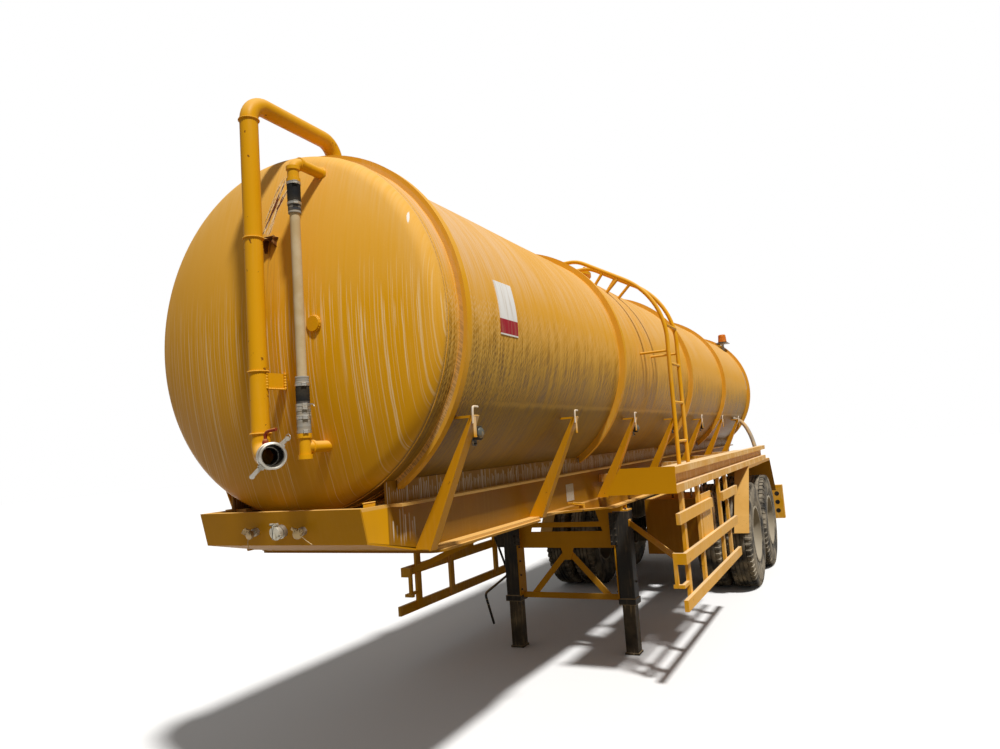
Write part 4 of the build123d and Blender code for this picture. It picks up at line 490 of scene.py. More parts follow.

# %% [markdown]
# ## Dust, grime and painted shade on the flank
# Rain washes the flank in fine vertical lines. Above the widest line they leave
# dust between them. Below it the dust breaks up into hatching and small scales,
# and the paint between turns ochre and brown, partly as dirt and partly as painted shade. The belly is
# painted brown all over, also partly as dirt and partly as painted shade.


# %% Dust, grime and painted shade on the flank
def flank_dust(f):
    """How dusty the flank is: fine lines above, hatching and scales below. The scales
    are a sine of the way down, shifted by a zigzag along X."""
    top = f.ease(f.height + (f.cloud - 0.5) * 0.30 + (f.fine - 0.5) * 0.30, -0.15, 0.50)
    above = top * (0.26 + f.near_ring * 0.22 + f.lines * 0.36)
    below = f.ease(f.height + (f.broad - 0.5) * 0.25, 0.24, 0.00)
    zigzag = f.across.maths("PINGPONG", 0.022) * 190
    wave = (f.down * 210 + zigzag + (f.broad - 0.5) * 9.0).maths("SINE")
    scales = f.ease(wave + (f.fine - 0.5) * 2.4 + (f.hair - 0.5) * 2.0, 0.05, 0.75)
    low = f.lines * 0.32 + f.hatch * 0.36 + scales * f.near_ring * 0.30
    return above.maths("MAXIMUM", below * low * f.ease(f.height, -0.80, -0.36))


def washed_paint(f):
    """The paint under the dust: yellow that turns ochre below, with brown between the
    flank's lines. This darkening towards the bottom is partly dirt and partly painted shade."""
    # Darker towards the bottom: partly dirt, partly painted shade.
    colour = f.blend(f.ease(f.height, 0.02, -0.42) * f.flank * 0.80, clean_yellow, deep_ochre)
    colour = f.blend(f.ease(f.height, -0.20, -0.80) * f.heads * 0.35, colour, deep_ochre)
    low = f.ease(f.height + (f.broad - 0.5) * 0.3, 0.14, -0.26)
    grime_and_shade = (2 - f.lines * 1.2 - f.hatch * 0.8) * low * f.flank
    return f.blend(grime_and_shade * (0.34 + f.near_ring * 0.08), colour, brown_grime_and_shade)


def dust_colour(f):
    """Pale dust on the heads, and on the flank pink dust above and yellow dust below."""
    high = f.ease(f.height, -0.15, 0.35) * (0.78 + f.near_ring * 0.22) * f.flank
    colour = f.blend(high, pale_dust, pink_dust)
    return f.blend(f.ease(f.height, 0.08, -0.24) * f.flank, colour, low_dust)


def underside(f, colour):
    """A line of dust where the barrel turns under, the belly painted brown below that line,
    partly as dirt and partly as painted shade, and dirt along the weld of the front seam."""
    edge = f.height + (f.broad - 0.5) * 0.03
    behind_ring = f.ease(f.x, first_ring_x - 0.3, first_ring_x - 0.6)
    settled = f.ease(abs(edge + 0.408), 0.020, 0.004) * f.flank * behind_ring
    colour = f.blend(settled * 0.40, colour, low_dust)
    # The belly's brown: partly dirt, partly painted shade.
    colour = f.blend(f.ease(edge, -0.40, -0.44) * f.flank * 0.48, colour, deep_brown)
    seam = f.ease(abs(f.x - (front_seam_x + 0.002)), 0.016, 0.004) * f.ease(f.speck, 0.35, 0.55)
    return f.blend(seam * 0.65, colour, brown_grime_and_shade)


print("flank layers ready")

# %% [markdown]
# ## Barrel paint
# The front head also carries marks of its own. Paint has peeled off in a leaning
# strip beside the pipe, rust has run down from a broken bracket, and there is a
# white blot near the left edge. Then all layers go over each other in the order
# in which they came to the real barrel.

# %% Barrel paint
blot_y, blot_z = 0.759, 2.890
peel_foot_z = 2.93


def front_marks(f, colour):
    """The marks on the front head. Gives the colour and the mask of the peeled paint."""
    front = f.ease(f.x, 0.0, 0.1) * f.heads
    leaning = f.y - (f.z - peel_foot_z) * 0.30
    strip = f.ease(abs(leaning - 0.030), 0.050, 0.030) * f.ease(f.z, 2.90, peel_foot_z)
    strip = strip * f.ease(f.z, 3.26, 3.20) * front
    torn = f.noise(f.vector(leaning * 60, f.z * 5.0, 2.0), detail=5, roughness=0.7, warp=0.4)
    peeled = f.ease(torn, 0.50, 0.515) * strip
    colour = f.blend(peeled * 0.85, colour, drip_white)
    colour = f.blend(f.ease(torn, 0.545, 0.56) * strip, colour, rust)
    run = f.ease(abs(f.y - 0.085), 0.045, 0.01) * f.ease(f.z, 2.30, 2.70) * f.ease(f.z, 2.88, 2.85) * front
    colour = f.blend(run * f.ease(f.fine, 0.45, 0.65) * 0.5, colour, rust)
    off_y = (f.y - blot_y + (f.z - blot_z) * 0.15) * 190
    off_z = (f.z - blot_z) * 30
    blot = f.ease(off_y * off_y + off_z * off_z + (f.speck - 0.5) * 1.4, 1.0, 0.6) * front
    return f.blend(blot, colour, bare_white), peeled


def barrel_paint():
    """All the layers in order. Dusty places are rougher, and peeled ones lie deeper."""
    f = barrel_finish()
    cover = (head_dust(f) * f.heads + flank_dust(f) * f.flank).maths("MINIMUM", 0.92)
    colour = f.blend(cover, washed_paint(f), dust_colour(f))
    colour = f.blend(head_drips(f) * f.heads * 0.80, colour, drip_white)
    colour, peeled = front_marks(f, underside(f, colour))
    roughness = 0.36 + cover * 0.45 + f.speck * 0.08
    return f.paint(colour, roughness, bump=f.fine * 0.2 + f.speck * 0.5 + cover * 0.2 - peeled * 0.8)


barrel_material = barrel_paint()
print("barrel paint:", len(barrel_material.node_tree.nodes), "nodes")

# %% [markdown]
# ## The barrel's skin
# The real barrel is rolled plate with two dished heads. Its outline is a crown
# arc, a tight knuckle arc and the straight shell, turned round the barrel's axis.
# Turning a profile is the plainest surface of two parameters. Rolled plate is
# never quite round, so the radius also swells by a millimetre or two.


# %% Barrel skin
def head_outline(arc_steps, knuckle_steps):
    """Half of a head's outline as (depth ahead of the seam, radius): points on the
    crown's arc from the axis outwards, then on the knuckle's arc to the shell."""
    crown_angle = math.asin(knuckle_height / (crown_radius - knuckle_radius))
    crown = np.linspace(0.004, crown_angle, arc_steps)
    knuckle = np.linspace(crown_angle, math.pi / 2, knuckle_steps)[1:]
    depth = np.concatenate([crown_radius * np.cos(crown) - crown_setback, knuckle_radius * np.cos(knuckle)])
    radius = np.concatenate([crown_radius * np.sin(crown), knuckle_height + knuckle_radius * np.sin(knuckle)])
    return depth, radius


def barrel_skin(turns=224, shell_steps=120):
    """The outline turned round the barrel's axis. The radius gains a swell of about a
    millimetre: a sine along the barrel times one round it, plus another along it."""
    depth, head_radius = head_outline(34, 12)
    shell_x = np.linspace(front_seam_x, rear_seam_x, shell_steps)[1:-1]
    x = np.concatenate([front_seam_x + depth, shell_x, (rear_seam_x - depth)[::-1]])[:, None]
    radius = np.concatenate([head_radius, np.full(len(shell_x), barrel_radius), head_radius[::-1]])[:, None]
    angle = np.linspace(0, 2 * math.pi, turns, endpoint=False)
    swell = 0.0010 * np.sin(2.1 * x) * np.sin(3 * angle + 0.6) + 0.0007 * np.sin(5.3 * x + 1.0)
    radius = radius + (swell - 0.0012) * (radius / barrel_radius)
    y, z = radius * np.cos(angle), barrel_axis_z + radius * np.sin(angle)
    return surface(np.stack([np.broadcast_to(x, y.shape), y, z], axis=-1), wrap_cols=True, caps=True)


add_piece("barrel_skin", [barrel_skin()], barrel_material, slot="tank_paint", stands_for=["tank_shell"])

# %% [markdown]
# ## Frame paint and dust
# The chassis, gussets, rings, ladder and rails wear the same orange-yellow, dull
# with dust on every face that looks up and streaked where rain runs off. What only
# some of them show is a layer: a small function that lays one thing more over the
# colour so far.


# %% Layers that only some nodes have
def chips(f, colour, amount):
    """Small rusty chips, where a fine noise peaks."""
    return f.blend(f.ease(f.noise(f.place, scale=38, detail=3), 0.700, 0.720) * amount, colour, rust)


def pale_runs(f, colour, spacing, low, high, back=-9.0, front=9.0):
    """Pale drips on faces that look sideways, one in each strip of the spacing, from
    the high Z down to the low one and between two places along X."""
    drip, first, second = f.runs(f.x, f.z, spacing, 3.0, spacing * 0.30)
    drip = drip * f.ease(f.x, front, front - 0.03)
    drip = drip * f.ease(f.z + first * spacing * 4, high + 0.01, high) * f.ease(f.x, back, back + 0.05)
    drip = drip * f.ease(f.z - first * 0.05, low - 0.06, low) * f.ease(abs(f.sideways), 0.6, 0.8)
    return f.blend(drip * (0.35 + second * 0.45), colour, bare_white)


def front_dust(f, colour, amount):
    """Dust and dark dashes on faces that look along X, most of them low on the first ring."""
    front = f.ease(abs(f.forward), 0.5, 0.75) * amount
    rise = f.z - barrel_axis_z
    out = (f.y * f.y + rise * rise).maths("SQRT")
    first = f.ease(f.x, first_ring_x - 0.20, first_ring_x - 0.10) * f.ease(out, 0.925, 0.920)
    dashes = f.noise(f.vector((f.y + f.z) * 95, (f.z - f.y) * 12.0, f.x * 9.0), detail=3, roughness=0.7)
    low = f.ease(f.z, barrel_axis_z + 0.35, barrel_axis_z - 0.35)
    colour = f.blend(front * (0.08 + first * (0.20 + low * 0.24)), colour, pink_dust)
    dashed = f.ease(dashes, 0.56, 0.44) * (0.02 + low * 0.48) * first
    return f.blend(front * dashed, colour, brown_grime_and_shade)


def worn_above(f, colour, z):
    """Side faces worn pale above a height, in patches."""
    worn = f.ease(f.z, z - 0.02, z + 0.03) * f.ease(abs(f.sideways), 0.5, 0.8)
    return f.blend(worn * f.ease(f.cloud + (f.speck - 0.5) * 0.5, 0.36, 0.56) * 0.7, colour, edge_dust)


def dust_lines(f, colour, *lines):
    """Lines of dust along edges, each given by its height and half its width."""
    for z, half in lines:
        settled = f.ease(abs(f.z - z), half, half * 0.6) * f.ease(f.speck + f.cloud * 0.4, 0.42, 0.62)
        colour = f.blend(settled * 0.65, colour, f.dust)
    return colour


print("layers ready")

# %% [markdown]
# ## Painted steel, more or less dusty
# One recipe paints every steel node. Its cover of dust follows the face's own
# direction, cloud noise breaks it up, and thin drips carry it down upright faces.
# The same cover makes the paint rougher, as dust does.


# %% The recipe for painted steel
def dress(material, names):
    """Gives a material to CAD nodes, in every material slot of each, and returns it."""
    for name in names:
        mesh = nodes[name].data
        if not mesh.materials:
            mesh.materials.append(material)
        for place in range(len(mesh.materials)):
            mesh.materials[place] = material
    return material


def dusty_paint(
    name, colour, top, side, grime_and_shade, on=(),
    dust=pale_dust, shine=0.42, clean_ahead=None, painted_light_ahead=None, layers=(),
):
    """Paint under dust, on the CAD nodes named. Top, side and grime_and_shade say from 0 to 1
    how much there is of each. The last is brown grime, raised on nodes in the barrel's
    shade as painted shade. The dust's cover is a smooth step of the face's upward direction
    times cloud noise, plus drip lines on upright faces. Ahead of one X no dust lies, and ahead of another the
    paint turns clean yellow, as painted light in place of a painted shade colour."""
    f = Finish(name)
    f.dust = dust
    f.cloud = f.noise(f.place, scale=3.5, detail=5, roughness=0.6)
    f.speck = f.noise(f.place, scale=180, detail=2)
    drips = f.noise(f.vector(f.x * 55, f.y * 55, f.z * 3.2), detail=2, roughness=0.6)
    settled = f.ease(f.upward + (f.cloud - 0.5) * 0.5, 0.05, 0.75) * (top * 0.8 + f.speck * top * 0.4)
    run_off = f.ease(drips + (f.cloud - 0.5) * 0.6, 0.50, 0.72) * side
    film = f.ease(f.cloud, 0.30, 0.75) * side * 0.7
    cover = settled.maths("MAXIMUM", run_off + film)
    if clean_ahead is not None:
        cover = cover * f.ease(f.x, clean_ahead, clean_ahead - 0.002)
    # Painted light: ahead of this X the colour turns clean yellow, as where the sun falls.
    if painted_light_ahead is not None:
        colour = f.blend(f.ease(f.x, painted_light_ahead, painted_light_ahead + 0.01), colour, clean_yellow)
    # Brown grime, and on nodes in the barrel's shade also painted shade.
    grime_and_shade_mask = f.ease(f.noise(f.place, scale=1.3, detail=6), 0.42, 0.68) * grime_and_shade
    colour = f.blend(cover, f.blend(grime_and_shade_mask, colour, brown_grime_and_shade), dust)
    for layer, *numbers in layers:
        colour = layer(f, colour, *numbers)
    return dress(f.paint(colour, shine + cover * 0.4 + f.speck * 0.1, bump=f.speck * 0.6 + cover * 0.3), on)


print("paint recipe ready")

# %% [markdown]
# ## Who wears which paint
# Each call makes one finish and dresses its nodes. Nodes that lie flat are dustier,
# those in the barrel's shade are painted darker as painted shade, and the chassis beams
# show the most: drips, dust along their edges, and at the front clean yellow as painted light, where the sun
# reaches them.

# %% Painted nodes
ring_dust = [(front_dust, 0.9)]
ring_paint = dusty_paint("ring_paint", clean_yellow, 0.60, 0.20, 0.10, ["stiffener_rings"], layers=ring_dust)
dusty_paint("box_paint", box_shade_yellow, 0.85, 0.03, 0.25, ["coupler_box"])
beams = ["chassis_beams", "cross_members", "coupler_plate"]
beam_marks = [
    (pale_runs, 0.026, 1.44, 1.58, first_ring_x - 0.15, first_ring_x + 0.09),
    (dust_lines, (1.593, 0.010), (1.354, 0.008), (1.257, 0.008)),
]
# Painted light and shade: behind this X the beams wear the painted shade yellow, ahead of it a sunlit clean
# yellow.
beam_painted_light_front = first_ring_x + 0.095
dusty_paint(
    "beam_paint", painted_shade_yellow, 0.95, 0.03, 0.40, beams, painted_light_ahead=beam_painted_light_front, layers=beam_marks
)
saddle_runs = [(pale_runs, 0.017, 1.625, 1.705)]
dusty_paint("saddle_paint", painted_shade_yellow, 0.80, 0.10, 0.40, ["saddle_plates"], layers=saddle_runs)
gusset_wear = [(chips, 0.5), (worn_above, 1.90)]
gusset_paint = dusty_paint("gusset_paint", frame_yellow, 0.5, 0.06, 0.12, ["gussets"], layers=gusset_wear)
dusty_paint("brace_paint", frame_yellow, 0.90, 0.04, 0.40, ["leg_bracing"])
dusty_paint("tool_paint", painted_shade_yellow, 0.90, 0.04, 0.50, ["tool_box"])
rails = ["side_guards", "rear_bumper", "rear_lamps"]
dusty_paint("rail_paint", clean_yellow, 0.85, 0.28, 0.14, rails, dust=edge_dust, layers=[(chips, 0.5)])
dusty_paint("mud_paint", mudguard_shade_yellow, 0.80, 0.05, 0.20, ["mudguards"], layers=[(chips, 0.5)])
walk_edge = first_ring_x - 2.352
dusty_paint("walk_paint", frame_yellow, 1.0, 0.60, 0.05, ["walkways"], dust=edge_dust, clean_ahead=walk_edge)
tank_trim = dusty_paint("tank_trim", clean_yellow, 0.70, 0.20, 0.10, ["ladder"])
pipes = ["suction_pipe", "gauge_pipes", "manhole_collar", "manhole_lid", "rear_outlet"]
pipe_chips = [(chips, 0.8)]
pipe_paint = dusty_paint("pipe_paint", clean_yellow, 0.60, 0.05, 0.03, pipes, shine=0.30, layers=pipe_chips)
legs = ["leg_tubes", "leg_gearbox"]
leg_dust = [(dust_lines, (0.466, 0.005), (0.415, 0.005), (1.205, 0.005))]
leg_paint = dusty_paint(
    "leg_paint", leg_black, 0.9, 0.10, 0.0, legs, dust=grey_dust, shine=0.5, layers=leg_dust
)
dusty_paint("foot_paint", foot_black, 0.9, 0.45, 0.0, ["leg_feet"], dust=grey_dust, shine=0.5)
running_gear = ["axles", "leaf_springs", "spring_hangers", "brake_chambers", "air_tanks"]
axle_paint = dusty_paint("axle_paint", soot_black, 0.8, 0.5, 0.0, running_gear, dust=tyre_dust, shine=0.6)
print("painted nodes dressed")

# %% [markdown]
# ## Bare metal, rubber and lenses
# Couplings are cast metal, dull and scratched. Hoses are rubber or clouded
# plastic. Lenses are coloured plastic over a dark cup. Each is a short recipe of
# its own, since none of them shares more than dust with the others.


# %% Recipes for metal, rubber and lenses
def cast_metal(name, colour, metallic=0.85, on=()):
    """Worn metal: noise moves the roughness, and dust dulls patches of it."""
    f = Finish(name, Metallic=metallic)
    cloud = f.noise(f.place, scale=24, detail=5)
    grain = f.noise(f.place, scale=420, detail=2)
    worn = f.blend(f.ease(cloud, 0.45, 0.75) * 0.5, colour, grey_dust)
    return dress(f.paint(worn, 0.3 + cloud * 0.3, bump=grain, bump_depth=0.0004), on)


def rubber(name, colour, dust, cover, scale=9.0, on=()):
    """Matt rubber with dust clouds and a fine grain."""
    f = Finish(name)
    cloud = f.noise(f.place, scale=scale, detail=5)
    grain = f.noise(f.place, scale=300, detail=2)
    dusty = f.ease(cloud + (grain - 0.5) * 0.2, 0.35, 0.70) * cover + f.ease(f.upward, 0.3, 0.9) * cover * 0.5
    return dress(f.paint(f.blend(dusty, colour, dust), 0.6 + cloud * 0.3, bump=grain, bump_depth=0.0005), on)


def lens_plastic(name, colour, ribs=120.0, on=()):
    """Coloured lens: fine upright ribs, so many to the metre, catch the light, and dust
    lies on top."""
    f = Finish(name, IOR=1.49)
    wave = ((f.x + f.y) * ribs * 6.28).maths("SINE")
    dusty = f.ease(f.noise(f.place, scale=30, detail=4), 0.45, 0.7) * 0.35
    shown = f.blend(dusty, colour, pale_dust)
    return dress(f.paint(shown, 0.18 + dusty * 0.5, bump=wave, bump_depth=0.0004), on)


print("small recipes ready")

# %% [markdown]
# ## Small finishes
# Some of these dress CAD nodes, and the others wait for the pieces further down. A
# colour that only one finish has stands in its call.

# %% Metal, rubber and lenses
hose_finish = rubber("hose_finish", (0.30, 0.27, 0.22), pale_dust, 0.6, on=["overflow_hose"])
rubber("tube_finish", (0.50, 0.36, 0.18), (0.62, 0.50, 0.32), 0.55, 14, on=["gauge_hose"])
rubber("sleeve_finish", (0.045, 0.045, 0.05), grey_dust, 0.25, 22, on=["hose_sleeves"])
tyre_nodes = [f"tyres_{name}" for name, _, _ in wheels]
tyre_finish = rubber("tyre_finish", rubber_grey, tyre_dust, 0.85, 6, on=tyre_nodes)
# Black rubber. It also serves as painted shade inside the coupling's bore and in the lamp box holes.
black_rubber_and_shade = rubber("black_rubber_and_shade", (0.012, 0.012, 0.012), grey_dust, 0.10)
tape_grey = rubber("tape_grey", (0.30, 0.28, 0.24), grey_dust, 0.45, 40)
label_finish = rubber("label_finish", (0.52, 0.48, 0.40), grey_dust, 0.5, 60)
cast_metal("steel_metal", steel_grey, on=["kingpin", "beacon_bracket"])
couplings = ["suction_coupling", "service_couplings"]
coupling_metal = cast_metal("coupling_metal", (0.46, 0.43, 0.37), 0.8, on=couplings)
bolt_steel = cast_metal("bolt_steel", (0.24, 0.21, 0.17), 0.7)
worn_brass = cast_metal("worn_brass", (0.34, 0.24, 0.12), 0.8)
socket_alloy = cast_metal("socket_alloy", (0.56, 0.52, 0.42), 0.5)
beacon_finish = lens_plastic("beacon_finish", (0.62, 0.16, 0.015), 60, on=["beacon"])
lens_plastic("marker_finish", (0.05, 0.045, 0.04), on=["marker_lamps"])
red_lens = lens_plastic("red_lens", (0.35, 0.02, 0.015))
smoked_lens = lens_plastic("smoked_lens", (0.10, 0.105, 0.09))
rim_nodes = [f"rims_{name}" for name, _, _ in wheels]
rim_finish = dusty_paint("rim_finish", rim_grey, 0.5, 0.6, 0.3, rim_nodes, dust=tyre_dust, shine=0.5)
hook_finish = dusty_paint("hook_finish", bare_white, 0.5, 0.3, 0.15)
bolt_black = dusty_paint("bolt_black", leg_black, 0.2, 0.05, 0.0, dust=grey_dust, shine=0.5)
red_paint = dusty_paint("red_paint", lever_red, 0.4, 0.1, 0.1, layers=[(chips, 0.6)])
rusty_iron = dusty_paint("rusty_iron", rust, 0.8, 0.25, 0.2, shine=0.8)
print("small finishes dressed")

# %% [markdown]
# ## Tyres
# A lorry tyre is a section carried once round the axle. Its tread has four
# grooves that run round and lugs cut into both shoulders. The grooves belong to
# the section, and the lugs depend on the angle, so the radius is a function of
# both. The angles are bunched at the lugs' edges, which gives them steep flanks
# without thousands of extra faces.

# %% Tyre section and tread
tyre_section = np.array(
    [
        (-0.108, 0.306), (-0.122, 0.312), (-0.131, 0.340), (-0.1395, 0.372), (-0.1400, 0.384),
        (-0.1440, 0.390), (-0.1470, 0.440), (-0.1470, 0.480), (-0.1430, 0.520), (-0.1425, 0.526),
        (-0.1385, 0.532), (-0.1360, 0.556), (-0.1300, 0.580), (-0.1180, 0.5945), (-0.0800, 0.5975),
        (-0.0765, 0.5970), (-0.0745, 0.5850), (-0.0655, 0.5850), (-0.0635, 0.5975), (-0.0290, 0.5990),
        (-0.0270, 0.5985), (-0.0250, 0.5855), (-0.0160, 0.5855), (-0.0140, 0.5990), (0.0, 0.5995),
    ]
)
tyre_section = np.concatenate([tyre_section, (tyre_section * (-1, 1))[-2::-1]])
lug_count = 54
lug_profile = np.array([0.0, 0.05, 0.30, 0.35, 0.60, 0.95])
lug_depths = np.array([0.0, 0.0, 0.0, 1.0, 1.0, 1.0])
lug_depth, lug_pull = 0.011, 0.006
twin_tyres = [(1.1025, 0.02), (0.7675, 0.07)]


def tyre_shape(axle_x, centre_y, side, twist):
    """The section carried round the axle. Where the angle is in a gap between two
    lugs, points near the shoulder move in by the lug's depth."""
    angle = (np.arange(lug_count)[:, None] + lug_profile).ravel() * (2 * math.pi / lug_count) + twist
    gap = np.tile(lug_depths, lug_count)[:, None]
    y, radius = tyre_section[:, 0], tyre_section[:, 1]
    shoulder = np.clip((np.abs(y) - 0.0665) / 0.006, 0, 1) * np.clip((radius - 0.545) / 0.012, 0, 1)
    grown = radius - gap * shoulder * lug_depth
    pulled = y - np.sign(y) * gap * shoulder * lug_pull * (np.abs(y) > 0.12)
    x = axle_x + grown * np.cos(angle)[:, None]
    z = wheel_radius + grown * np.sin(angle)[:, None]
    return surface(np.stack([x, side * (centre_y + pulled), z], axis=-1), wrap_rows=True, wrap_cols=True)


for name, axle_x, side in wheels:
    twins = [tyre_shape(axle_x, centre_y, side, twist) for centre_y, twist in twin_tyres]
    ride = {"body": f"wheel_{name}", "slot": "tyre_rubber", "stands_for": [f"tyres_{name}"]}
    add_piece(f"tread_tyres_{name}", twins, tyre_finish, sharp=32, **ride)

# %% [markdown]
# ## Weld beads
# Where two plates meet, the weld stands proud as a row of small scallops. A bead
# is a low hump carried along the joint, and its height follows a fast sine with
# a slower one over it, so that no two scallops are the same.


# %% Weld beads on the barrel
def ring_bead(x, width=0.006, height=0.0035, scallops=520):
    """A half-round section carried round the barrel's axis at one X. Its height is
    one plus a fast and a slow sine of the angle."""
    angle = np.linspace(0.0, 2 * math.pi, scallops * 2)[:, None]
    bump = 1 + 0.35 * np.sin(angle * scallops * 0.9) + 0.25 * np.sin(angle * 37.0 + 1.0)
    section = np.linspace(0, math.pi, 6)
    reach = barrel_radius + height * np.sin(section) * bump - 0.0015
    along = np.broadcast_to(x + width * np.cos(section), reach.shape)
    points = np.stack([along, reach * np.cos(angle), barrel_axis_z + reach * np.sin(angle)], axis=-1)
    return surface(points, wrap_cols=True, caps=True)


beads = [ring_bead(front_seam_x + 0.002), ring_bead(rear_seam_x - 0.002)]
beads += [ring_bead(x + 0.023 * face, width=0.005) for x in ring_stations for face in (-1, 1)]
add_piece("barrel_welds", beads, ring_paint, slot="tank_paint", sharp=60)

# %% [markdown]
# ## The plate on the flank
# A thin plate is fixed to the left flank behind the first ring. Here it is blank,
# white with a red band along its foot. It follows the barrel's curve, so it is
# a patch of a slightly larger barrel, closed at the back.


# %% Blank plate
def plate_paint():
    """White, with a red band between two heights and grey dust in fine upright streaks."""
    f = Finish("plate_paint")
    band = f.ease(f.z, 2.483, 2.480) * f.ease(f.z, 2.404, 2.407)
    grey = f.ease(f.noise(f.vector(f.x * 60, f.y * 5, f.z * 5), detail=3), 0.45, 0.75) * 0.35
    return f.paint(f.blend(grey, f.blend(band, sign_white, sign_red), grey_dust), 0.45 + grey * 0.4)


def patch(x_centre, z_low, z_high, length, thickness=0.0025):
    """A patch of the barrel's surface between two heights: two grids, one on the
    skin and one a thickness above it, as one closed band."""
    low, high = (math.asin((z - barrel_axis_z) / barrel_radius) for z in (z_low, z_high))
    angle = np.linspace(low, high, 16)[:, None]
    x = np.broadcast_to(x_centre + length * np.linspace(-0.5, 0.5, 12), (16, 12))
    layers = []
    for lift in (-0.001, thickness):
        reach = np.full(x.shape, barrel_radius + lift)
        layers.append(np.stack([x, reach * np.cos(angle), barrel_axis_z + reach * np.sin(angle)], axis=-1))
    under, over = layers
    return surface(np.concatenate([under, over[:, ::-1]], axis=1), wrap_cols=True, caps=True)


add_piece("flank_plate", [patch(first_ring_x - 0.5005, 2.398, 2.684, 0.202)], plate_paint())

# %% [markdown]
# ## Rods and hooks
# Each gusset ends in a bent rod, where hoses and tarpaulin ropes were once
# hooked. A rod is a circle carried along a bent line. Its corners are softened by
# cutting them a few times, which is a whole-array step, and the section is held
# square to the line by two cross products with a fixed direction.


# %% Tubes along softened lines
def soften(points, rounds=3):
    """Chaikin's corner cutting: every run between two points keeps its middle half,
    again and again, and the two ends stay."""
    points = np.asarray(points, float)
    for _ in range(rounds):
        near = 0.75 * points[:-1] + 0.25 * points[1:]
        far = 0.25 * points[:-1] + 0.75 * points[1:]
        middle = np.stack([near, far], axis=1).reshape(-1, 3)
        points = np.concatenate([points[:1], middle, points[-1:]])
    return points


def rod(points, radius, sides=12, rounds=3, across=(0, 0, 1)):
    """A circle of the given radius, or one radius per point, carried along the
    softened line. Across is a direction that the line never follows."""
    line = soften(points, rounds)
    run = np.gradient(line, axis=0)
    run /= np.linalg.norm(run, axis=1, keepdims=True)
    first = np.cross(run, across)
    first /= np.linalg.norm(first, axis=1, keepdims=True)
    second = np.cross(run, first)
    angle = np.linspace(0, 2 * math.pi, sides, endpoint=False)
    circle = np.cos(angle)[None, :, None] * first[:, None] + np.sin(angle)[None, :, None] * second[:, None]
    radii = np.broadcast_to(radius, (len(line),))
    return surface(line[:, None] + circle * radii[:, None, None], wrap_cols=True, caps=True)


bends = [(0.027, 0.002, -0.040), (0.027, 0.004, 0.030), (0.020, 0.004, 0.040), (-0.024, 0.004, 0.038)]
hooks = []
for x in gusset_stations:
    for side in left_right:
        line = [(x + ahead, side * (gusset_tip_y + out), gusset_tip_z + up) for ahead, out, up in bends]
        hooks.append(rod(line, 0.0055, across=(0, 1, 0.2)))
add_piece("gusset_hooks", hooks, hook_finish, slot="frame_paint")

# %% [markdown]
# ## Turned shapes and slabs
# Nuts, clamps, lenses, flanges and caps are all the same surface: a profile turned
# about an axis. With six steps the same function makes a hexagon nut. A slab is an
# eight-sided section with its ends drawn in, which gives a plate a worn edge.


# %% Turned shapes and slabs
def turned_shape(origin, axis, profile, steps=28):
    """The profile's points (distance along the axis, radius) turned about the axis.
    Two directions square to the axis come from cross products."""
    axis = np.asarray(axis, float) / np.linalg.norm(axis)
    first = np.cross(axis, (0, 0, 1) if abs(axis[2]) < 0.9 else (1, 0, 0))
    first /= np.linalg.norm(first)
    second = np.cross(axis, first)
    profile = np.asarray(profile, float)
    angle = np.linspace(0, 2 * math.pi, steps, endpoint=False)
    circle = np.cos(angle)[:, None] * first + np.sin(angle)[:, None] * second
    points = np.asarray(origin) + profile[:, 0, None, None] * axis + profile[:, 1, None, None] * circle
    return surface(points, wrap_cols=True, caps=True)


def hoop(origin, axis, inner, profile, steps=36):
    """A closed ring: a profile of (along, out) offsets carried round a circle."""
    profile = np.asarray(profile, float) + (0.0, inner)
    points, _ = turned_shape(origin, axis, profile, steps)
    return surface(points.reshape(len(profile), steps, 3), wrap_rows=True, wrap_cols=True)


def slab(centre, half, bevel=0.002, along=(1, 0, 0), up=(0, 0, 1)):
    """A block with worn edges. Half holds its half sizes along, across and up."""
    along = np.asarray(along, float) / np.linalg.norm(along)
    across = np.cross(up, along)
    across /= np.linalg.norm(across)
    upward = np.cross(along, across)
    corner = np.array([(1, -1), (1, 1), (-1, 1), (-1, -1)])
    inset = np.array([[(0, 1), (1, 0)], [(1, 0), (0, 1)]] * 2) * bevel
    section = (corner[:, None] * (np.array(half[1:]) - inset)).reshape(-1, 2)
    shrink = np.clip(1 - bevel / np.maximum(np.abs(section), 1e-6), 0, 1)
    end = half[0]
    rows = []
    for offset, share in ((-end, shrink), (bevel - end, 1.0), (end - bevel, 1.0), (end, shrink)):
        flat = section * share
        rows.append(np.asarray(centre) + offset * along + flat[:, :1] * across + flat[:, 1:] * upward)
    return surface(np.array(rows), wrap_cols=True, caps=True)


print("turned shapes and slabs ready")

# %% [markdown]
# ## Small hardware
# These are the parts that come again and again: nuts, collars, sleeves, domes and
# weld lines, and the circles that they stand on. Each is a turned shape or a rod
# with its profile worked out from a few sizes.


# %% Nuts, collars, domes and weld lines
def around(centre, radius, first, second, turn):
    """Points on a circle: the centre, plus the radius times the cosine of each angle
    along the first direction and its sine along the second."""
    return centre + radius * (np.cos(turn)[:, None] * first + np.sin(turn)[:, None] * second)


def nuts(spots, axis, across, height, stud):
    """A hexagon nut at each spot, on a stud's rounded end."""
    hexagon = [(-0.002, across), (height * 0.85, across), (height, across * 0.86)]
    stud_end = [(0, stud), (height + 0.005, stud), (height + 0.008, stud * 0.6)]
    kinds = ((hexagon, 6), (stud_end, 12))
    return [turned_shape(spot, axis, profile, steps) for spot in spots for profile, steps in kinds]


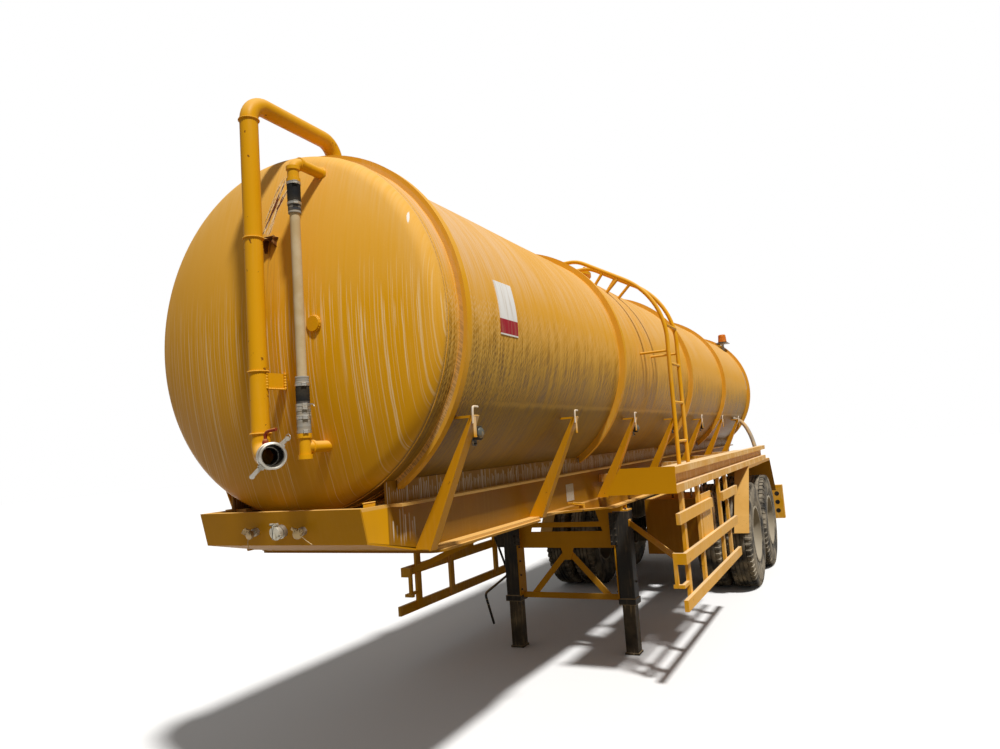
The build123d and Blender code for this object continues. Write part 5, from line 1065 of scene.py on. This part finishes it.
def collar(origin, axis, inner, half, rise, steps=36):
    """A ring with bevelled edges, as far to both sides of the origin."""
    bevel = 0.002
    profile = [(-half, 0), (bevel - half, rise), (half - bevel, rise), (half, 0)]
    return hoop(origin, axis, inner, profile, steps)


def sleeve(origin, axis, inner, length, wall):
    """A plain tube that starts at the origin."""
    return hoop(origin, axis, inner, [(0, 0), (length, 0), (length, wall), (0, wall)], steps=40)


def dome(origin, axis, foot, rise, radius, steps):
    """A quarter of an ellipse turned about the axis, with its foot above the origin."""
    arc = np.linspace(0, math.pi / 2, steps)
    profile = np.stack([foot + rise * np.sin(arc), radius * np.cos(arc) + 0.0004], axis=1)
    return turned_shape(origin, axis, profile)


def evenly(points, step):
    """Points at even steps along a bent line, and how far along it each one lies."""
    length = np.linalg.norm(np.diff(points, axis=0), axis=1)
    stations = np.concatenate([[0], np.cumsum(length)])
    at = np.arange(0, stations[-1], step)
    return at, np.stack([np.interp(at, stations, points[:, i]) for i in range(3)], axis=1)


def weld_line(points, radius, pitch, across=(0.31, 0.2, 1)):
    """A bead along a line: its radius swells and shrinks once in each pitch."""
    at, line = evenly(np.asarray(points, float), pitch / 4)
    swell = radius * (1 + 0.28 * np.sin(at / pitch * 2 * math.pi) + 0.12 * np.sin(at * 91.0))
    return rod(line, swell, sides=8, rounds=0, across=across)


print("small hardware ready")

# %% [markdown]
# ## Wheel details
# Ten nuts hold each twin wheel. Round them stand the disc's pressed ring and the
# rim, which steps in from its flange to its well before it meets the disc. The hub
# has a cap, eight studs of its own and a valve. Each piece rides on its own wheel.

# %% Nuts, caps and rim wells
disc_face = wheel_disc_y + 0.012
nut_circle, stud_circle = 0.1675, 0.088
disc_ring_radius, hub_ring_radius = 0.196, 0.070
stud_rise, hub_rise, cap_rise = 0.100, 0.108, 0.122
well = [
    (0.000, 0.2955), (0.020, 0.2925), (0.060, 0.2750), (0.120, 0.2700), (0.180, 0.2740), (0.230, 0.2900),
    (0.262, 0.2960), (0.281, 0.2970), (0.284, 0.3010), (0.281, 0.3180), (0.291, 0.3225), (0.292, 0.2980),
    (0.262, 0.2940), (0.230, 0.2880), (0.180, 0.2720), (0.120, 0.2680), (0.060, 0.2730), (0.000, 0.2935),
]
disc_ring = [(0, -0.012), (0.007, -0.006), (0.009, 0.0), (0.007, 0.008), (0, 0.014)]
hub_ring = [(0, 0), (0.006, 0.002), (0.006, 0.022), (0, 0.026)]
hub_cap = [(0, 0.058), (0.014, 0.055), (0.020, 0.040), (0.021, 0.004)]
nut_turn = np.arange(10) * 2 * math.pi / 10
stud_turn = np.arange(8) * 2 * math.pi / 8 + 0.2
for name, axle_x, side in wheels:
    ride = {"body": f"wheel_{name}", "slot": "rim_paint"}
    outward = side * along_y
    face = np.array([axle_x, side * disc_face, wheel_radius])
    spots = around(face, nut_circle, along_x, up_z, nut_turn)
    add_piece(f"wheel_nuts_{name}", nuts(spots, outward, 0.0165, 0.022, 0.011), bolt_steel, **ride)
    rim = [
        hoop(face, outward, 0.0, well, steps=56),
        hoop(face, outward, disc_ring_radius, disc_ring),
        hoop(face + hub_rise * outward, outward, hub_ring_radius, hub_ring),
        turned_shape(face + cap_rise * outward, outward, hub_cap),
    ]
    add_piece(f"rim_wells_{name}", rim, rim_finish, **ride)
    spots = around(face + stud_rise * outward, stud_circle, along_x, up_z, stud_turn)
    valve = [face + (0.232, side * 0.010, 0.10), face + (0.245, side * 0.075, 0.105)]
    studs = [*nuts(spots, outward, 0.009, 0.010, 0.005), rod(valve, 0.004)]
    add_piece(f"hub_studs_{name}", studs, bolt_steel, **ride)

# %% [markdown]
# ## The level gauge
# The gauge stands closest to the camera. Its hose is held by black sleeves, by
# wraps of grey tape and by steel clamps with a screw block each. Collars stand
# where its pipes screw together.

# %% Gauge sleeves, tape, clamps and collars
gauge = from_ring(0.420, 0.309, 0.0)
gauge_pipe_radius = 0.026


def band(z, height, radius, ripple=0.0):
    """A wrapped band on the gauge hose. Its radius ripples a little along it."""
    at = np.linspace(0, height, 15)
    out = radius + ripple * np.sin(at * 410.0) * np.sin(at * 130.0 + 1.0)
    profile = [(0, radius - 0.006), *zip(at, out), (height, radius - 0.006)]
    return turned_shape(gauge + up_z * z, up_z, profile, steps=36)


dark = [band(2.988, 0.088, 0.0302, 0.0004), band(2.088, 0.074, 0.0302, 0.0004)]
add_piece("gauge_dark_sleeves", dark, black_rubber_and_shade, slot="sleeve")
tape = [
    band(2.938, 0.046, 0.0285, 0.0012),
    band(2.165, 0.032, 0.0300, 0.0010),
    band(2.018, 0.034, 0.0312, 0.0015),
    band(1.950, 0.064, 0.0308, 0.0010),
]
add_piece("gauge_tape", tape, tape_grey, slot="sleeve")
clamps = []
for z in (3.078, 2.984, 2.160, 2.070, 2.056, 2.014, 1.953):
    clamps.append(band(z - 0.006, 0.012, 0.0322))
    clamps.append(slab(gauge + (0.020, 0.027, z), (0.012, 0.006, 0.007), along=(-0.8, 0.6, 0)))
tail = [(0.006, 0.031, 2.066), (0.012, 0.052, 2.072), (0.016, 0.072, 2.068), (0.018, 0.078, 2.058)]
clamps.append(rod(gauge + tail, 0.0025))
add_piece("gauge_clamps", clamps, coupling_metal, slot="coupling_metal")
wall_nut = [(-0.004, 0), (0, 0.007), (0.006, 0.004), (0.008, 0)]
collars = [collar(gauge + up_z * z, up_z, gauge_pipe_radius, 0.010, 0.005) for z in (3.094, 3.150)]
for z in (1.886, 3.186):
    collars.append(collar(gauge + (-0.045, 0, z), along_x, gauge_pipe_radius, 0.009, 0.005))
collars.append(hoop(gauge + (-0.190, 0, 3.186), along_x, gauge_pipe_radius, wall_nut))
add_piece("gauge_collars", collars, pipe_paint, slot="tank_paint")

# %% [markdown]
# ## The coupling at the pipe's foot
# The coupling's mouth is turned away from the trailer's axis, so its own three
# directions are worked out first and everything on it is placed with them. It has
# a bright rim, a black seal, two cam arms and a pull ring. Two black sleeves inside its bore are painted
# shade, to make the bore dark.

# %% Coupling rim, cam arms and seal
mouth_turn = math.radians(58.0)
mouth_way = np.array([math.cos(mouth_turn), math.sin(mouth_turn), 0.0])
mouth_across = np.array([-math.sin(mouth_turn), math.cos(mouth_turn), 0.0])
mouth_root = np.array([pipe_x, pipe_y, 1.857]) + 0.140 * mouth_way
mouth = mouth_root + 0.072 * mouth_way
cam_line = mouth - 0.038 * mouth_way
seal_place = mouth_root + 0.020 * mouth_way
rim_edge = [(-0.014, 0.000), (0.002, 0.001), (0.005, 0.004), (0.002, 0.0105), (-0.014, 0.0105)]
metal = [
    hoop(mouth, mouth_way, 0.047, rim_edge, steps=56),
    collar(seal_place, mouth_way, 0.054, 0.006, 0.004, steps=48),
]
for turn, length in ((math.radians(45.0), 0.050), (math.radians(225.0), 0.066)):
    arm_way = math.cos(turn) * mouth_across + math.sin(turn) * up_z
    side_way = np.cross(mouth_way, arm_way)
    start = cam_line + 0.052 * arm_way
    end = start + (length - 0.004) * arm_way
    arm_half = (length / 2, 0.0085, 0.0065)
    metal.append(slab((start + end) / 2, arm_half, 0.003, along=arm_way, up=mouth_way))
    metal.append(turned_shape(end - 0.008 * mouth_way, mouth_way, [(0, 0.010), (0.016, 0.010)], 18))
    metal.append(turned_shape(start - 0.018 * side_way, side_way, [(0, 0.005), (0.036, 0.005)], 14))
pull_centre = cam_line + 0.106 * (mouth_across + up_z) / math.sqrt(2)
pull_turn = np.append(np.linspace(0, 2 * math.pi, 28, endpoint=False), 0.0)
pull_ring = around(pull_centre, 0.014, mouth_way + 0.4 * mouth_across, up_z, pull_turn)
metal.append(rod(pull_ring, 0.002, sides=8, rounds=0, across=(0.5, -0.8, 0.1)))
add_piece("coupling_rim", metal, coupling_metal, slot="coupling_metal")
seal_and_bore_shade = [
    hoop(seal_place, mouth_way, 0.040, [(-0.010, 0.006), (-0.010, 0.0), (0.004, 0.0), (0.006, 0.006)], 40),
    # Painted shade: two black sleeves that darken the inside of the bore.
    sleeve(mouth_root + 0.012 * mouth_way, mouth_way, 0.0445, 0.042, 0.0022),
    sleeve(mouth_root - 0.070 * mouth_way, mouth_way, 0.0350, 0.074, 0.0016),
]
add_piece("coupling_seal_and_bore_shade", seal_and_bore_shade, black_rubber_and_shade, slot="coupling_metal")

# %% [markdown]
# ## A lever and a broken bracket
# A red lever stands over the coupling. A broken bracket, rusted through, is left on
# the head beside the pipe: four slabs that lean out from one root.

# %% Lever and bracket
lever_foot = from_ring(0.510, 0.168, 1.893)
lever_hub = [(-0.004, 0.013), (0.028, 0.014), (0.040, 0.010), (0.044, 0.004)]
lever_bends = [(0, 0, 0.030), (0.003, 0.004, 0.064), (0.004, 0.022, 0.074), (0.002, 0.066, 0.078)]
lever = [turned_shape(lever_foot, up_z, lever_hub, 16), rod(lever_foot + lever_bends, 0.0075)]
add_piece("coupling_lever", lever, red_paint, slot="coupling_metal")
stub = from_ring(0.345, 0.088, 2.885)
broken = [
    slab(stub, (0.036, 0.034, 0.005), along=(1, 0.1, -0.1)),
    slab(stub + (-0.004, -0.028, -0.030), (0.030, 0.004, 0.034), along=(1, 0, -0.35)),
    slab(stub + (0.004, 0.026, -0.016), (0.022, 0.004, 0.022), along=(1, 0.2, 0.3)),
    slab(stub + (0.026, 0.004, -0.010), (0.010, 0.016, 0.008), along=(0.6, 0.5, -0.6)),
]
add_piece("broken_bracket", broken, rusty_iron, slot="tank_paint")

# %% [markdown]
# ## Welds on the head and the pipe
# A small pad is welded to the dished head, and its X follows from the crown's
# sphere at that Y. The pipe's clip is welded along its edges, and the pipe itself
# where its lengths meet.

# %% Front welds
pad_y, pad_z, pad_radius = 0.330, 2.440, 0.036
pad_x = front_seam_x + math.sqrt(crown_radius**2 - pad_y**2) - crown_setback
pipe_weld_radius = 0.0455
clip_y, clip_foot_z, clip_top_z = pipe_y + 0.042, 2.158, 2.230
turn = np.linspace(0, 2 * math.pi, 90)
pad_ring = around((pad_x + 0.002, pad_y, pad_z), pad_radius, along_y, up_z, turn)
beads = [weld_line(pad_ring, 0.004, 0.011, across=along_x)]
for ahead, y in ((0.462, clip_y - 0.001), (0.362, clip_y + 0.012)):
    upright = [from_ring(ahead, y, clip_foot_z), from_ring(ahead, y, clip_top_z)]
    beads.append(weld_line(upright, 0.0055, 0.013, across=along_x))
foot = [from_ring(0.462, clip_y, clip_foot_z), from_ring(0.362, clip_y + 0.012, clip_foot_z)]
beads.append(weld_line(foot, 0.004, 0.012))
for z in (1.960, 2.237, 2.851, 3.417):
    pipe_ring = around((pipe_x, pipe_y, z), pipe_weld_radius, along_x, along_y, turn)
    beads.append(weld_line(pipe_ring, 0.0032, 0.009, across=up_z))
add_piece("front_welds", beads, pipe_paint, slot="tank_paint", sharp=60)

# %% [markdown]
# ## Couplings on the box
# Two air couplings and a socket with a lid sit on the box, and a stiff wire hangs
# from each coupling. Their pieces lie over the CAD solids that carry them, so each
# place is computed from the same setback and height.

# %% Service couplings
box_x = first_ring_x + 0.300
air_cap = [(-0.006, 0.012), (0.004, 0.021), (0.016, 0.023), (0.022, 0.018), (0.024, 0.006)]
air_stub = [(0, 0.008), (0.018, 0.007), (0.020, 0.004)]
fittings = []
for y, lean, side in ((-0.140, -0.5, -1), (0.152, 0.6, 1)):
    body = np.array([box_x + 0.012, y, 1.500])
    lug = body + (0.014, 0.026 * side, 0.010)
    fittings.append(turned_shape(body, (0.94, lean * 0.5, -0.1), air_cap))
    fittings.append(slab(lug, (0.016, 0.007, 0.010), along=(0.3, 0.9 * side, 0.5)))
    fittings.append(turned_shape(body + (0.006, -0.018, 0.016), (0.5, -0.6, 0.6), air_stub, 14))
    fittings += nuts([body + (0.020, 0.004, 0.020)], (0.9, 0, 0.3), 0.007, 0.006, 0.004)
wires = [
    [(0.024, -0.148, 1.488), (0.030, -0.150, 1.460), (0.024, -0.146, 1.432)],
    [(0.028, 0.176, 1.494), (0.030, 0.205, 1.474), (0.022, 0.236, 1.452)],
]
fittings += [rod(wire + box_x * along_x, 0.0018) for wire in wires]
add_piece("air_fittings", fittings, worn_brass, slot="coupling_metal")
socket = np.array([box_x + 0.006, 0.022, 1.508])
socket_cap = [(0, 0.030), (0.012, 0.033), (0.024, 0.032), (0.028, 0.024), (0.029, 0.004)]
lid = [
    turned_shape(socket, (0.97, 0, -0.24), socket_cap),
    slab(socket + (0.028, 0, 0.002), (0.006, 0.010, 0.034), 0.003),
    slab(socket + (0.020, -0.006, 0.036), (0.012, 0.018, 0.006)),
    turned_shape(socket + (0.018, -0.022, 0.036), along_y, [(0, 0.005), (0.040, 0.005)], 12),
    slab(socket + (0.016, 0.030, -0.014), (0.010, 0.008, 0.006)),
]
add_piece("socket_lid", lid, socket_alloy, slot="coupling_metal")

# %% [markdown]
# ## Marker lamps and the beacon
# A marker lamp is a smoked dome in a dark cup, held by two screws, on four of the
# gussets of each side. The beacon at the back stands in a collar, and fine ribs
# run round its lens, which narrows towards its top.

# %% Marker lamps and beacon
cup = [(-0.020, 0.0065), (0.003, 0.0085), (0.005, 0.004), (0.002, 0.0)]
lamp_cups, lamp_domes = [], []
for station in gusset_stations[[0, 2, 3, 4]]:
    for side in left_right:
        outward = side * along_y
        lamp = np.array([station - 0.0633, side * 0.8535, 1.900])
        screws = [lamp + (0.010, -side * 0.026, drop) for drop in (-0.050, 0.050)]
        lamp_cups.append(hoop(lamp, outward, 0.026, cup))
        lamp_cups += nuts(screws, outward, 0.005, 0.004, 0.003)
        lamp_domes.append(dome(lamp, outward, 0.0, 0.020, 0.0275, 9))
add_piece("lamp_cups", lamp_cups, black_rubber_and_shade, slot="lamp_lens")
add_piece("lamp_domes", lamp_domes, smoked_lens, slot="lamp_lens")

beacon = np.array([rear_seam_x + 0.260, 0.622, 3.2163])
beacon_radius, beacon_taper = 0.0655, 0.087
beacon_foot = hoop(beacon, up_z, 0.066, [(0, 0), (0, 0.010), (0.018, 0.009), (0.020, 0.0)], 48)
screws = [beacon + (x, y, 0) for x in (-0.085, 0.085) for y in (-0.07, 0.07)]
foot_parts = [beacon_foot, *nuts(screws, up_z, 0.008, 0.006, 0.005)]
add_piece("beacon_collar", foot_parts, black_rubber_and_shade, slot="beacon_lens")
rib = [(-0.003, -0.001), (0, 0.0015), (0.003, -0.001)]
heights = np.arange(0.028, 0.112, 0.012)
radii = beacon_radius - beacon_taper * (heights - 0.016)
ribs = [hoop(beacon + up_z * z, up_z, radius, rib, 48) for z, radius in zip(heights, radii)]
add_piece("beacon_ribs", ribs, beacon_finish, slot="beacon_lens")

# %% [markdown]
# ## Landing legs and gussets
# A bolted flange joins each leg to its bracket, rows of bolts close its tubes, and
# the gearbox has a cap for its crank. These are the parts that a low viewpoint
# shows, where plain solids would look like a toy.

# %% Leg flanges, bolts, gusset tips and gearbox cap
leg_x, leg_y, leg_half = first_ring_x - 3.250, 0.540, 0.068
flanges, leg_bolts = [], []
for side in left_right:
    outward = side * along_y
    front = np.array([leg_x + leg_half, side * (leg_y - leg_half), 0.0])
    flanges.append(slab(front + (0.001, -side * 0.004, 1.055), (0.005, 0.034, 0.140)))
    spots = [front + (0.006, side * y, z) for z in np.linspace(0.945, 1.165, 5) for y in (-0.024, 0.018)]
    leg_bolts += nuts(spots, along_x, 0.009, 0.008, 0.005)
    inner_y = side * (leg_y - leg_half - 0.010)
    spots = [(leg_x + 0.045, inner_y, z) for z in np.linspace(0.52, 1.15, 6)]
    leg_bolts += nuts(spots, -outward, 0.009, 0.008, 0.005)
    leg_bolts += nuts([(leg_x, side * (leg_y + leg_half), 0.60)], outward, 0.010, 0.008, 0.006)
    spots = [(leg_x + x, side * leg_y + y, 1.215) for x in (-0.045, 0.045) for y in (-0.045, 0.045)]
    leg_bolts += nuts(spots, up_z, 0.010, 0.010, 0.006)
add_piece("leg_flanges", flanges, leg_paint, slot="leg_paint")
add_piece("leg_bolts", leg_bolts, bolt_black, slot="leg_paint")

tips = [
    slab((x + 0.017, side * (gusset_tip_y + 0.004), gusset_tip_z - 0.054), (0.014, 0.005, 0.052))
    for x in gusset_stations
    for side in left_right
]
add_piece("gusset_tips", tips, gusset_paint, slot="frame_paint")
gearbox = np.array([leg_x, -(leg_y + leg_half + 0.070), 0.980])
crank_cap = [(0, 0.034), (0.010, 0.034), (0.016, 0.024), (0.045, 0.020)]
spots = [gearbox + (x, 0, z) for z in (0.06, -0.06) for x in (-0.045, 0.045)]
caps = [turned_shape(gearbox, -along_y, crank_cap), *nuts(spots, -along_y, 0.008, 0.006, 0.005)]
add_piece("gearbox_caps", caps, leg_paint, slot="leg_paint")

# %% [markdown]
# ## Springs
# Each spring is tied to its axle by two bent bolts with a nut on both ends, and
# every hanger pin ends in a nut.

# %% Spring ties and hanger pins
inner_y, outer_y, tie_top_z, tie_foot_z = 0.437, 0.543, 0.815, 0.522
tie_bends = [(inner_y, tie_top_z), (inner_y, tie_foot_z), (outer_y, tie_foot_z), (outer_y, tie_top_z)]
ties = []
for _, axle_x, side in wheels:
    for x in (axle_x - 0.080, axle_x + 0.080):
        path = [(x, side * y, z) for y, z in tie_bends]
        ties.append(rod(path, 0.008, sides=10, rounds=2, across=along_x))
        ties += nuts([(x, side * y, 0.812) for y in (inner_y, outer_y)], up_z, 0.014, 0.014, 0.008)
for x in first_ring_x - np.array([5.470, 6.825, 8.180]):
    for side in left_right:
        for y, way in ((0.567, side), (0.413, -side)):
            ties += nuts([(x, side * y, 0.840)], way * along_y, 0.024, 0.012, 0.010)
add_piece("spring_ties", ties, axle_paint, slot="undercarriage")

# %% [markdown]
# ## Small plates and clips
# A blank label and a clip sit on the left beam, a lug on the box and a pale strip
# on the rear flank.

# %% Label, clips and strip
label = slab(from_ring(-2.176, 0.4975, 1.455), (0.074, 0.0015, 0.062), 0.0008)
add_piece("beam_label", [label], label_finish)
clips = [
    slab(from_ring(-2.140, 0.556, 1.371), (0.120, 0.024, 0.010), 0.003, along=(1, 0, 0.14)),
    slab(from_ring(-2.235, 0.560, 1.352), (0.016, 0.022, 0.022), 0.003),
    slab(from_ring(0.200, 0.470, 1.606), (0.045, 0.006, 0.016), 0.003),
]
add_piece("beam_clips", clips, tank_trim, slot="frame_paint")
add_piece("rear_strip", [patch(first_ring_x - 9.035, 2.45, 2.73, 0.030)], label_finish)

# %% [markdown]
# ## The rear lamps
# Each lamp box has three round lamps. From behind they are red lenses, each in a
# ring, and from the front, as in the photograph, dark holes in the box. Each hole is a black disc on the
# box's face: painted shade for the hole's dark inside.

# %% Lamp holes as black discs of painted shade, and lenses
lamp_box_x, lamp_box_y, lamp_box_half = rear_seam_x - 0.100 + 0.075, 1.165, 0.060
hole_shade = [(-0.004, 0.034), (0.0015, 0.034), (0.0015, 0.004)]
lens_ring = [(0.0, 0.006), (0.022, 0.004), (0.026, 0.0), (0.0, -0.002)]
hole_shade_discs, lenses = [], []
for side in left_right:
    for z in (0.54, 0.67, 0.80):
        front = np.array([lamp_box_x + lamp_box_half, side * lamp_box_y, z])
        back = np.array([lamp_box_x - lamp_box_half, side * lamp_box_y, z])
        # Painted shade: a black disc for each hole's dark inside.
        hole_shade_discs.append(turned_shape(front, along_x, hole_shade))
        lenses.append(dome(back, -along_x, 0.024, 0.008, 0.047, 8))
        lenses.append(hoop(back, -along_x, 0.049, lens_ring))
add_piece("lamp_box_hole_shades", hole_shade_discs, black_rubber_and_shade, slot="rear_lamp")
add_piece("rear_lenses", lenses, red_lens, slot="rear_lamp")

# %% [markdown]
# ## Bolts on the lid and the outlet
# Six wing bolts hold the manhole's lid down, and they swing with it. The outlet's
# valve has a flange on both faces, taller than it is wide, so its bolts stand on
# an ellipse.

# %% Wing bolts and valve bolts
lid_centre = from_ring(-3.650, 0.0, 3.449)
lid_bolt_circle, wing_half = 0.271, 0.034
turn = np.arange(6) * math.pi / 3 + math.pi / 6
spots = around(lid_centre, lid_bolt_circle, along_x, along_y, turn)
wings = around(0.0, wing_half, along_y, -along_x, turn)
wing_bolts = nuts(spots, up_z, 0.016, 0.016, 0.009)
for spot, wing in zip(spots, wings):
    tip = spot + up_z * 0.026
    wing_bolts.append(rod([tip - wing, spot + up_z * 0.020, tip + wing], 0.0055))
add_piece("lid_bolts", wing_bolts, bolt_steel, body="manhole_lid", slot="tank_paint")
flange = (rear_seam_x - 0.555 + 0.185 + 0.035, 0.0, 1.760 + 0.09)
spots = around(flange, 1.0, 0.095 * along_y, 0.150 * up_z, np.arange(8) * math.pi / 4)
valve_bolts = nuts(spots, along_x, 0.011, 0.009, 0.006)
valve_bolts += nuts(spots - 0.070 * along_x, -along_x, 0.011, 0.009, 0.006)
add_piece("valve_bolts", valve_bolts, bolt_steel, slot="tank_paint")

# %% [markdown]
# ## The grey hose
# The overflow hose is ribbed. Its line is the CAD solid's own, and its radius
# rises and falls once for each rib.

# %% Ribbed hose
hose_bends = [
    from_ring(-8.200, 0.770, 2.000),
    from_ring(-8.185, 0.905, 1.945),
    from_ring(-8.050, 1.015, 1.770),
    from_ring(-7.900, 1.085, 1.560),
    from_ring(-7.880, 1.095, 1.4065),
]
at, hose_line = evenly(soften(hose_bends, rounds=4), 0.0022)
hose_radius = 0.0265 + 0.0018 * np.sin(at * 2 * math.pi / 0.0115)
hose = rod(hose_line, hose_radius, sides=20, rounds=0, across=(1, 0, 0.1))
add_piece("ribbed_hose", [hose], hose_finish, slot="hose_rubber", stands_for=["overflow_hose"], sharp=80)
